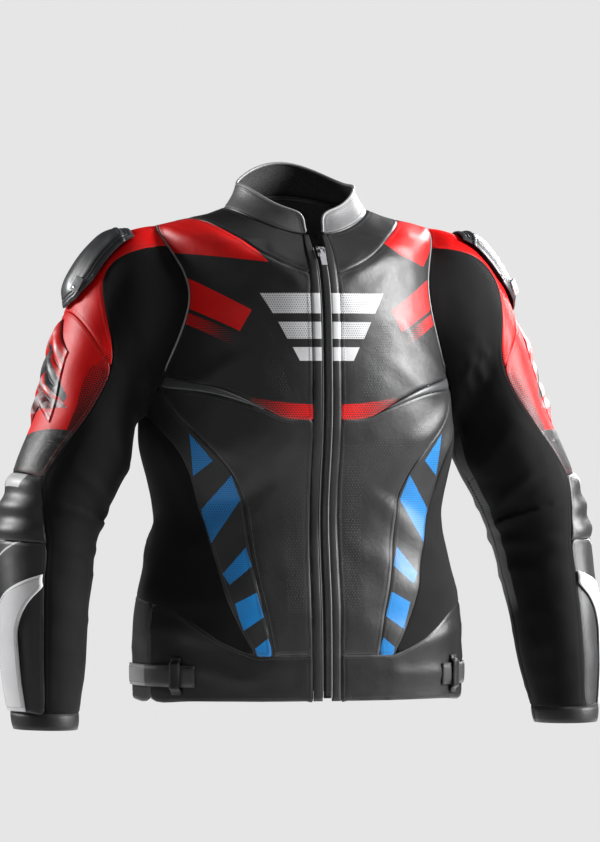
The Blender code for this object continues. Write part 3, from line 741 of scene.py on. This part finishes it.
def collar_rib_shade(colour, at):
    """Fine upright ribs with painted shade between them, fading into a plain hem at the edge."""
    ribs = (at.across * (2 * math.pi / (2.6 * MM))).sine()
    # Painted shade: the grooves between the ribs are darkened, since the ribs are not raised in the surface.
    return (ribs.rise(0.2, -0.9) * at.edge.rise(5 * MM, 7 * MM) * 0.55).mixed(
        colour, (0.045, 0.045, 0.048))


def tube(name, path, radius, finish):
    """A cord of round section along a line of places, its ends closed."""
    line = bpy.data.curves.new(name, "CURVE")
    line.dimensions = "3D"
    line.bevel_depth = radius
    line.bevel_resolution = 2
    line.use_fill_caps = True
    spline = line.splines.new("POLY")
    spline.points.add(len(path) - 1)
    for point, place in zip(spline.points, path):
        point.co = (*place, 1)
    draft = linked(name, line)
    mesh = evaluated(draft)
    bpy.data.objects.remove(draft)
    new_piece(name, mesh, finish)


def run_beside(name, neighbours, reach, beside=True):
    """The longest stretch of a panel's cut edge that lies beside, or clear of, other CAD nodes."""
    trees = [surface_of(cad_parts[other].data) for other in neighbours]
    best = [], []
    for ring, facing, _ in RIMS[name]:
        chosen = [(min(tree.find_nearest(Vector(p))[3] for tree in trees) < reach) == beside for p in ring]
        start = 0 if all(chosen) else chosen.index(False)
        order = [(start + step) % len(ring) for step in range(len(ring) + 1)]
        for wanted, run in groupby(order, key=chosen.__getitem__):
            run = list(run)
            if wanted and len(run) > len(best[0]):
                best = ring[run], facing[run]
    path, facing = best
    for _ in range(3):
        path = np.vstack((path[:1], 0.25 * path[:-2] + 0.5 * path[1:-1] + 0.25 * path[2:], path[-1:]))
    return path, facing


piping_hide = leather("piping_hide", (0.21, 0.21, 0.213), edge_wear_and_highlight=0.2, roughness=0.4)
collar_hide = leather("collar_hide", (0.105, 0.105, 0.108), decorate=collar_rib_shade,
                      holes=lambda at: at.edge.rise(6 * MM, 7 * MM) * dots(at, 2.6 * MM, 0.4 * MM))
panel("collar", collar_hide, (0.450, 0.045), 0.0153, thread=BLACK_THREAD, drop=0.3 * MM)
yokes = ("yoke_front_l", "yoke_front_r", "yoke_back")
path, facing = run_beside("collar", yokes, 4 * MM, beside=False)
tube("collar_binding", path - facing * 0.6 * MM, 1.7 * MM, piping_hide)
path, facing = run_beside("collar", yokes, 4 * MM)
tube("neck_tape", path - facing * 1.8 * MM, 2.3 * MM, yoke_hide)

# ---------------- armhole and zip piping
# A pale cord sewn into the front of each armhole seam, and a thinner one into the placket edge.



def tucked(path, facing, lift):
    """A path lifted off the seam, with both its ends sunk into it."""
    walked = np.concatenate(([0], np.cumsum(np.linalg.norm(np.diff(path, axis=0), axis=1))))
    to_end = np.minimum(walked, walked[-1] - walked)
    return path + facing * (lift - 3.4 * MM * (1 - smooth(0, 9 * MM, to_end)))[:, None]


for side in "lr":
    path, facing = run_beside("chest_" + side, ("sleeve_front_" + side, "shoulder_leather_" + side),
                              4 * MM)
    tube("armhole_piping_" + side, tucked(path, facing, 0.5 * MM), 1.3 * MM, piping_hide)
    path, facing = run_beside("placket_" + side, ("zip",), 3 * MM)
    tube("placket_piping_" + side, path + facing * 0.3 * MM, 0.7 * MM, piping_hide)

# ---------------- stretch sleeves
# The inner half of each sleeve, front and back, in dull black stretch knit, with a grey mesh strip
# down the under-arm seam. Folds gather at the armpit and at the crook of the bent elbow.

SLEEVE_ROUND = 0.070    # the sleeve's radius for which its pattern has its own scale
SLEEVE_LINE = (   # points along the middle of the left sleeve, in metres
    (0.150, 0.013, -0.112), (0.197, 0.017, -0.123), (0.219, 0.026, -0.140), (0.240, 0.027, -0.184),
    (0.253, 0.018, -0.232), (0.274, 0.009, -0.284), (0.299, 0.006, -0.342), (0.313, -0.006, -0.416),
    (0.318, -0.026, -0.489), (0.322, -0.046, -0.573), (0.322, -0.053, -0.605))


def sleeve_steps():
    """The sleeve line's points, its steps, their lengths and the way walked to each point."""
    line = np.array(SLEEVE_LINE)
    steps = np.diff(line, axis=0)
    lengths = np.linalg.norm(steps, axis=1)
    return line, steps, lengths, np.concatenate(([0], np.cumsum(lengths)))


def spokes(heading):
    """Directions to the front and to the outer side, square to each heading."""
    front = np.array((0, -1, 0)) - heading * (heading @ (0, -1, 0))[:, None]
    front /= np.linalg.norm(front, axis=1)[:, None]
    return front, np.cross(front, heading)


def sleeve_spokes(along):
    """Middle of the left sleeve, and its front and outer directions, at each way along it."""
    line, steps, lengths, walked = sleeve_steps()
    middle = np.stack([np.interp(along, walked, part) for part in line.T], 1)
    mids = (walked[1:] + walked[:-1]) / 2
    heading = np.stack([np.interp(along, mids, part) for part in (steps / lengths[:, None]).T], 1)
    heading /= np.linalg.norm(heading, axis=1)[:, None]
    return (middle, *spokes(heading))


def on_sleeve(points):
    """Way round the sleeve from its front towards its outer side, way along it, and its middle."""
    line, steps, lengths, walked = sleeve_steps()
    side = math.copysign(1, points[:, 0].mean())
    folded = points * (side, 1, 1)
    nearest = np.full(len(points), 1e9)
    along, middle, heading = np.zeros(len(points)), np.zeros((len(points), 3)), np.zeros((len(points), 3))
    for start, step, length, before in zip(line, steps, lengths, walked):
        share = np.clip((folded - start) @ step / length**2, 0, 1)
        foot = start + share[:, None] * step
        away = np.linalg.norm(folded - foot, axis=1)
        closer = away < nearest
        nearest[closer] = away[closer]
        along[closer] = before + share[closer] * length
        middle[closer], heading[closer] = foot[closer], step / length
    front, outer = spokes(heading)
    spoke = folded - middle
    turn = np.arctan2((spoke * outer).sum(1), (spoke * front).sum(1))
    turn = np.where(turn < -math.pi / 2, turn + 2 * math.pi, turn)
    return turn * SLEEVE_ROUND, along, middle * (side, 1, 1)


# Folds of the sleeves in mm: the way round and the way along of both ends, half width and rise.
SLEEVE_FOLDS_LEFT = (
    # way round and height or way along, of one end and the other, half width, rise
    (-28, 42, -34, 150, 6.5, 2.2),
    (-8, 40, -18, 135, 6, 2),
    (-52, 50, -50, 170, 8, 2.2),
    (-75, 60, -70, 190, 8.5, 1.8),
    (-100, 285, 12, 250, 9, 2.8),
    (-105, 312, 20, 300, 8.5, 3.2),
    (-100, 334, 16, 344, 9, 3),
    (-95, 362, 10, 392, 9.5, 2.4),
    (-80, 235, -10, 205, 10, 2),
    (-90, 430, 10, 445, 9, 2),
    (-85, 475, 15, 465, 8, 2),
    (-80, 505, 10, 520, 7, 1.8),
    (205, 60, 240, 160, 9, 2.2),
    (260, 70, 270, 180, 9, 2),
    (200, 290, 310, 268, 10, 2.6),
    (195, 330, 315, 318, 10, 3),
    (200, 372, 310, 360, 10, 2.4),
    (205, 455, 300, 440, 9, 2),
    (210, 500, 305, 510, 8, 1.8),
)
SLEEVE_FOLDS_RIGHT = (
    # way round and height or way along, of one end and the other, half width, rise
    (-30, 46, -30, 140, 7, 2),
    (-58, 52, -48, 162, 8, 2.2),
    (-82, 66, -80, 180, 8.5, 1.8),
    (-100, 278, 10, 258, 9, 2.8),
    (-104, 306, 18, 308, 9, 3),
    (-100, 340, 12, 352, 8.5, 2.8),
    (-90, 370, 8, 384, 9.5, 2.2),
    (-85, 228, -12, 212, 10, 2),
    (-88, 436, 8, 430, 9, 2),
    (-84, 480, 12, 474, 8, 2),
    (-80, 512, 8, 506, 7, 1.6),
    (210, 55, 236, 150, 9, 2.2),
    (200, 284, 312, 276, 10, 2.6),
    (198, 326, 312, 330, 10, 3),
    (204, 380, 308, 366, 10, 2.4),
    (208, 448, 304, 452, 9, 2),
    (212, 506, 300, 500, 8, 1.8),
)


def sleeve_relief(points, across, along, edge):
    folds = SLEEVE_FOLDS_LEFT if points[:, 0].mean() > 0 else SLEEVE_FOLDS_RIGHT
    slow = 0.0012 * uneven(points, 0.048, 5.2) + 0.0005 * uneven(points, 0.019, 2.6)
    return (creased(across, along, folds) + slow) * smooth(0.0, 0.02, edge)


def hide_relief(points, across, along, edge):
    slow = 0.0010 * uneven(points, 0.040, 7.7) + 0.0004 * uneven(points, 0.016, 4.1)
    return slow * smooth(0.0, 0.02, edge)


def under_arm_strip(colour, at):
    """Grey mesh beside the under-arm seam, from below the armpit to the elbow."""
    strip = at.across.rise(-0.082, -0.086).larger(at.across.rise(0.300, 0.304))
    return (strip * at.along.rise(0.17, 0.20) * at.along.rise(0.43, 0.40) *
            (1 - dots(at, 2.4 * MM, 0.7 * MM))).mixed(colour, (0.155, 0.155, 0.160))


sleeve_knit = knit("sleeve_knit", (0.004, 0.004, 0.0043), strip=under_arm_strip)
sleeve_panel = partial(panel, place=on_sleeve)
for side in "lr":
    for name, area in (("sleeve_front_", 0.0615), ("sleeve_back_", 0.0649)):
        sleeve_panel(name + side, sleeve_knit, (0.200, 0.550), area, slot="stretch_black", wall=STRETCH_WALL,
                     relief=sleeve_relief)

# ---------------- over-arm leather and arm ribs
# Red hide over the shoulder and down the outer arm, its front lower side printed over with a growing
# halftone, four accordion ribs on the outer arm, their crests part rubbed wear and part painted
# highlight and their grooves painted shade, with a dark wedge below them, a strip of silver net, one
# more red field and dark net with painted glints down to the elbow. Corners are (way round, along) in mm.

ARM_FADE = ((-40, 80), (24, 80), (28, 106), (30, 136), (40, 181), (50, 215), (54, 300), (-40, 300))
ARM_WEDGE = ((119, 108), (119, 132), (51, 184), (47, 172), (76, 140))
ARM_SILVER = ((119, 134), (119, 192), (72, 192), (40, 190), (51, 185))
REAR_WEDGE = tuple((220 - across, along) for across, along in ARM_WEDGE)
REAR_SILVER = tuple((220 - across, along) for across, along in ARM_SILVER)
RIB_TOP, RIB_RUN, RIB_LEAN = 0.090, 0.0232, 0.59    # where the ribs start, their pitch and slant
RIB_HALF, RIB_MIDDLE, RIB_COUNT, RIB_HEIGHT = 0.0465, 0.110, 4, 6.4 * MM
RIB_COLUMNS, RIB_ROWS = 40, 112                     # faces across the ribs and down them


def arm_print(colour, at):
    """Halftone, wedge, silver net, and the dark net at the lower end of the red hide with painted glints on
    it.
    """
    depth = within(at.across, at.along, ARM_FADE)
    fade = depth.rise(-0.25 * MM, 0.25 * MM)
    growth = 0.75 * MM + depth * 0.020 + (at.along - 0.10).larger(0.0) * 0.0065
    colour = (fade * dots(at, HALFTONE_PITCH, growth)).mixed(colour, (0.012, 0.012, 0.012))
    streak = at.spot.noise(60, 4, 0.8)
    silver = streak.rise(0.40, 0.62).mixed((0.035, 0.035, 0.037), (0.42, 0.42, 0.43))
    netted = filled(at.across, at.along, ARM_SILVER, REAR_SILVER)
    colour = (netted * (1 - dots(at, 2.2 * MM, 0.55 * MM) * 0.8)).mixed(colour, silver)
    wedge = filled(at.across, at.along, ARM_WEDGE, REAR_WEDGE)
    colour = wedge.mixed(colour, (0.040, 0.042, 0.045))
    lower = (at.along - 0.223 + abs(at.across - 0.110) * 0.08).rise(-0.3 * MM, 0.3 * MM)
    # Painted glints: pale flecks on the dark net that stand for small highlights.
    painted_glint = dots(at, 2.4 * MM, 0.75 * MM) * streak.rise(0.46, 0.64)
    return lower.mixed(colour, (painted_glint * 0.45).mixed((0.020, 0.020, 0.021), (0.30, 0.30, 0.31)))


def rib_print_and_painted_light(colour, at):
    """Pale crests, part rubbed wear and part painted highlight, painted shade in the grooves, and less and
    less red downwards.
    """
    rows = (at.along - RIB_TOP - abs(at.across - RIB_MIDDLE) * RIB_LEAN) / RIB_RUN
    crest = abs((rows * math.pi).sine())
    streak = rows.node("CombineXYZ", None, {0: at.across * 30.0, 1: rows * 3.0}).noise(1, 5, 0.6)
    down = at.along.rise(0.120, 0.175)
    colour = (streak.rise(0.50, 0.60) * (0.10 + down * 0.65)).mixed(colour, (0.055, 0.045, 0.046))
    # Painted shade: the grooves between the ribs are darkened towards a deep red.
    colour = (crest.rise(0.45, 0.05) * 0.8).mixed(colour, (0.07, 0.008, 0.008))
    # Pale crests: partly rubbed wear, partly a painted highlight on the rib tops.
    rubbed_and_highlit = crest.rise(0.80, 1.0) * streak.rise(0.38, 0.56) * (0.45 + down * 0.40)
    return rubbed_and_highlit.mixed(colour, (0.46, 0.42, 0.42))


def add_arm_ribs(side, finish):
    """Four puffed ribs with sharp stitched grooves between, laid on the arm leather's own surface."""
    surface = surface_of(PANELS["arm_leather_" + side].data)
    bm = bmesh.new()
    bmesh.ops.create_grid(bm, x_segments=RIB_COLUMNS, y_segments=RIB_ROWS, size=0.5)
    if side == "l":
        bmesh.ops.reverse_faces(bm, faces=bm.faces)
    mesh = mesh_from(bm, "arm_ribs_" + side + "_piece")
    u, v, _ = coordinates(mesh).T + 0.5
    across = RIB_MIDDLE + RIB_HALF * (2 * u - 1)
    along = RIB_TOP + RIB_LEAN * np.abs(across - RIB_MIDDLE) + v * RIB_COUNT * RIB_RUN
    middle, front, outer = sleeve_spokes(along)
    turn = (across / SLEEVE_ROUND)[:, None]
    spoke = front * np.cos(turn) + outer * np.sin(turn)
    outwards = (1 if side == "l" else -1, 1, 1)
    base, upward = [], []
    for start, way in zip(middle * outwards, spoke * outwards):
        hit, normal = surface.ray_cast(Vector(start), Vector(way))[:2]
        if hit is None:
            hit, normal = surface.find_nearest(Vector(start + 0.08 * way))[:2]
        base.append(hit)
        upward.append(normal if normal.dot(Vector(way)) > 0 else -normal)
    base, upward = np.array(base), np.array(upward)
    put(mesh, base)
    puff = np.abs(np.sin(math.pi * RIB_COUNT * v))**0.75
    side_fade = smooth(0.0, 0.30, u) * (1 - smooth(0.70, 1.0, u))
    height = 1.2 * MM + RIB_HEIGHT * puff * side_fade + 0.5 * MM * uneven(base, 0.018, 9.3) * puff
    dressed("arm_ribs_" + side, mesh, np.stack((across, along), 1), upward, height, finish,
            LEATHER_WALL, None)


arm_hide = leather("arm_hide", RED_HIDE, decorate=arm_print, edge_wear_and_highlight=0.2, roughness=0.42, gloss=0.16)
rib_hide = leather("rib_hide", RED_HIDE, decorate=lambda colour, at: arm_print(rib_print_and_painted_light(colour, at), at),
                   edge_wear_and_highlight=0.4, roughness=0.36)
for side in "lr":
    sleeve_panel("shoulder_leather_" + side, arm_hide, (0.200, 0.130), 0.0196, slot="leather_red",
                 relief=hide_relief, thread=RED_THREAD)
    sleeve_panel("arm_leather_" + side, arm_hide, (0.203, 0.195), 0.0328, slot="leather_red",
                 relief=hide_relief, thread=RED_THREAD)
    add_arm_ribs(side, rib_hide)

# ---------------- elbow, forearm and cuff
# Black accordion ribs over the elbow with a thin red line and a white tab above them, plain black
# hide down the forearm with a raised white band, and a turned cuff.


def elbow_print(colour, at):
    """A red line and a white tab at the top of the elbow."""
    tab = filled(at.across, at.along, ((66, 272), (128, 272), (120, 292), (74, 292)))
    line = filled(at.across, at.along, ((60, 266), (140, 266), (140, 272), (60, 272)))
    return line.mixed(tab.mixed(colour, WHITE_HIDE), RED_HIDE)


def forearm_print(colour, at):
    """A thin white line that bows across the top of the forearm."""
    bow = abs(at.along - 0.352 + (at.across - 0.070) * -0.32)
    return (bow.rise(1.6 * MM, 1.1 * MM) * at.across.rise(0.030, 0.034)).mixed(colour, WHITE_HIDE)


elbow_hide = leather("elbow_hide", (0.020, 0.020, 0.021), decorate=elbow_print, edge_wear_and_highlight=0.6)
forearm_hide = leather("forearm_hide", (0.019, 0.019, 0.020), decorate=forearm_print)
cuff_hide = leather("cuff_hide", (0.010, 0.010, 0.011), roughness=0.5)
band_white = leather("band_white", (0.54, 0.54, 0.55), edge_wear_and_highlight=0.1)
for side in "lr":
    sleeve_panel("elbow_ribs_" + side, elbow_hide, (0.180, 0.082), 0.0131, border=0,
                 levels=3)
    sleeve_panel("forearm_" + side, forearm_hide, (0.185, 0.221), 0.0297,
                 relief=hide_relief, thread=BLACK_THREAD)
    sleeve_panel("forearm_band_" + side, band_white, (0.109, 0.154), 0.0080, slot="leather_white", border=0,
                 thread=BLACK_THREAD)
    sleeve_panel("cuff_" + side, cuff_hide, (0.270, 0.0205), 0.0054, border=0)

# ---------------- shoulder caps
# Hard moulded caps on the shoulders with a double groove inside the rim and a raised facet, held by
# the small pale plate and its screw. The caps are 1.5 mm plastic.

CAP_WALL = 1.5 * MM
CAP_FACET = ((76, 42), (144, 42), (149, 82), (110, 92), (71, 82))
PLATE_PLACE, PLATE_SIZE, PLATE_RISE = (0.0885, 0.070), (0.0105, 0.0185, 0.0034), 0.0006


def cap_relief(points, across, along, edge):
    """Two fine grooves along the rim and a facet that stands off the cap."""
    grooves = sum(np.exp(-((edge - way) / (0.9 * MM))**2) for way in (6.0 * MM, 9.5 * MM))
    facet = within(across, along, CAP_FACET)
    return (-0.9 * MM * grooves + 1.6 * MM * smooth(-0.6 * MM, 0.9 * MM, facet)
            - 0.8 * MM * smooth(3.5 * MM, 4.6 * MM, facet))


def moulded(name, tone, roughness):
    """Moulded plastic with a fine spark texture and faint scuffs."""
    material, shader, spot = new_finish(name, Specular_IOR_Level=0.5)
    scuffs = spot.noise(40, 6, 2)
    colour = scuffs.rise(0.45, 0.75).mixed(tone, tuple(1.5 * part for part in tone))
    feed(shader, Base_Color=colour, Roughness=roughness - 0.05 + scuffs * 0.14,
         Normal=spot.noise(1400).raised(0.18, 0.1 * MM))
    return material


def metal(name, tone, roughness):
    """Plated metal, a little brushed."""
    material, shader, spot = new_finish(name, Metallic=1.0)
    brush = spot.noise(700, 3)
    feed(shader, Base_Color=brush.rise(0.3, 0.7).mixed(tuple(0.85 * part for part in tone), tone),
         Roughness=roughness - 0.08 + brush * 0.16)
    return material


cap_grey = moulded("cap_grey", (0.030, 0.031, 0.034), 0.34)
plate_grey = moulded("plate_grey", (0.42, 0.43, 0.44), 0.30)
steel = metal("steel", (0.62, 0.62, 0.64), 0.28)
for side in "lr":
    cap = sleeve_panel("shoulder_cap_" + side, cap_grey, None, None, slot="cap_plastic", wall=CAP_WALL,
                       border=0, levels=4, relief=cap_relief, drop=0.4 * MM)
    points, facing = coordinates(cap.data), normals_of(cap.data)
    across, along, _ = on_sleeve(points)
    nearest = np.hypot(across - PLATE_PLACE[0], along - PLATE_PLACE[1]).argmin()
    lower = np.hypot(across - PLATE_PLACE[0], along - PLATE_PLACE[1] - 0.008).argmin()
    upward = Vector(facing[nearest])
    heading = Vector(points[lower] - points[nearest])
    sideways = upward.cross(heading).normalized()
    heading = sideways.cross(upward)

    def laid(bm, name, finish):
        """Sets a small part on the cap, its own +Z along the cap's normal."""
        middle = Vector(points[nearest]) + upward * PLATE_RISE
        for vert in bm.verts:
            vert.co = middle + sideways * vert.co.x + heading * vert.co.y + upward * vert.co.z
        bmesh.ops.recalc_face_normals(bm, faces=bm.faces)
        new_piece(name, mesh_from(bm, name), finish)

    bm = bmesh.new()
    bmesh.ops.create_cube(bm, size=1.0)
    bmesh.ops.scale(bm, verts=bm.verts, vec=PLATE_SIZE)
    bmesh.ops.bevel(bm, geom=bm.edges[:], affect="EDGES", offset=0.7 * MM, segments=2, profile=0.5,
                    material=-1)
    laid(bm, "cap_plate_" + side, plate_grey)
    bm = bmesh.new()
    bmesh.ops.create_cone(bm, cap_ends=True, segments=20, radius1=2.1 * MM, radius2=1.8 * MM,
                          depth=1.4 * MM)
    bmesh.ops.translate(bm, verts=bm.verts, vec=(0, 4.5 * MM, PLATE_SIZE[2] / 2))
    laid(bm, "cap_screw_" + side, steel)

# ---------------- zip
# A closed front zip: woven tape between the plackets, two interlocking rows of moulded teeth, the
# slider at the neck as its CAD block, and the pull tab that hangs from it.

TOOTH_PITCH = 2.0 * MM
TOOTH_SIZE = (2.6 * MM, 1.5 * MM, 1.25 * MM)    # across, out of the tape, along
TEETH_TOP, TEETH_END = -0.044, -0.560


def finish_tape():
    """Woven polyester tape with fine cross ribs."""
    material, shader, spot = new_finish("zip_tape_weave", Roughness=0.9, Specular_IOR_Level=0.2)
    weave = spot.node("TexWave", {"bands_direction": "Z"}, {"Vector": spot, "Scale": 260.0})
    feed(shader, Base_Color=weave.mixed((0.006, 0.006, 0.006), (0.016, 0.016, 0.017)),
         Normal=weave.raised(0.4, 0.2 * MM))
    return material


panel("zip", finish_tape(), (0.010, 0.560), 0.0049, slot="zip_tape", wall=1.0 * MM, border=0, drop=0)
tape = surface_of(PANELS["zip"].data)
bm = bmesh.new()
for number in range(int((TEETH_TOP - TEETH_END) / TOOTH_PITCH)):
    for row in (-1, 1):
        level = TEETH_TOP - TOOTH_PITCH * (number + 0.25 * row)
        hit = tape.ray_cast(Vector((0.9 * MM * row, -1, level)), Vector((0, 1, 0)))[0]
        if hit is None:
            continue
        tooth = bmesh.ops.create_cube(bm, size=1.0)["verts"]
        bmesh.ops.scale(bm, verts=tooth, vec=TOOTH_SIZE)
        bmesh.ops.translate(bm, verts=tooth, vec=hit + Vector((0, -0.4 * TOOTH_SIZE[1], 0)))
teeth = mesh_from(bm, "zip_teeth")
new_piece("zip_teeth", teeth, moulded("tooth_black", (0.020, 0.020, 0.021), 0.32))
teeth.polygons.foreach_set("use_smooth", [False] * len(teeth.polygons))
gunmetal = metal("gunmetal", (0.34, 0.34, 0.36), 0.26)
for name in ("slider", "pull_tab"):
    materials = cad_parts[name].data.materials
    materials.clear()
    materials.append(gunmetal)

# ---------------- studio
# The photograph's pale seamless studio: a level camera turned 16 degrees, a large soft key from the
# upper right, weaker soft light from the left and behind, and a plain pale floor below the jacket.

TURN = math.radians(-16)
VIEW_HEIGHT, AIM_RIGHT, AIM_LEVEL = 1.0104, 0.0036, -0.235
camera = linked("camera", bpy.data.cameras.new("camera"))
bpy.context.scene.camera = camera
camera.data.lens = 250
camera.data.sensor_width = 36
camera.data.clip_end = 100
aim = Vector((AIM_RIGHT * math.cos(TURN), AIM_RIGHT * math.sin(TURN), AIM_LEVEL))
back = Vector((math.sin(TURN), -math.cos(TURN), 0))
camera.location = aim + back * (camera.data.lens / camera.data.sensor_width * VIEW_HEIGHT)
camera.rotation_euler = (-back).to_track_quat("-Z", "Y").to_euler()

LIGHTS = (
    # name, place, size, watts
    ("key", (2.9, -1.0, 0.9), 1.4, 330),
    ("fill", (-2.4, -2.6, 0.5), 1.4, 6),
    ("rim_left", (-2.0, 1.3, 0.6), 1.0, 70),
    ("rim_right", (1.9, 1.6, 0.9), 1.0, 70),
    ("top", (0.3, -0.4, 2.4), 1.6, 10),
)
for name, place, size, watts in LIGHTS:
    lamp = bpy.data.lights.new(name, "AREA")
    lamp.shape = "DISK"
    lamp.size = size
    lamp.energy = watts
    stand = linked(name, lamp)
    stand.location = place
    stand.rotation_euler = (Vector((0, 0, -0.25)) - stand.location).to_track_quat("-Z", "Y").to_euler()

AMBIENT, BACKDROP = (0.035, 0.035, 0.035), (0.79, 0.79, 0.79)
world = bpy.data.worlds.new("studio")
bpy.context.scene.world = world
world.use_nodes = True
seen = Wire(world.node_tree).node("LightPath")
feed(world.node_tree.nodes["Background"], Color=seen.mixed(AMBIENT, BACKDROP))

bm = bmesh.new()
bmesh.ops.create_circle(bm, cap_ends=True, segments=96, radius=1.9)
bmesh.ops.translate(bm, verts=bm.verts, vec=(0, 0, -0.9))
floor = linked("floor", mesh_from(bm, "floor"))
floor_look, floor_shader, spot = new_finish("pale_floor", Roughness=0.8)
feed(floor_shader, Base_Color=spot.noise(0.8).mixed((0.70, 0.70, 0.70), (0.74, 0.74, 0.74)))
floor.data.materials.append(floor_look)
bpy.context.scene.view_settings.view_transform = "Standard"
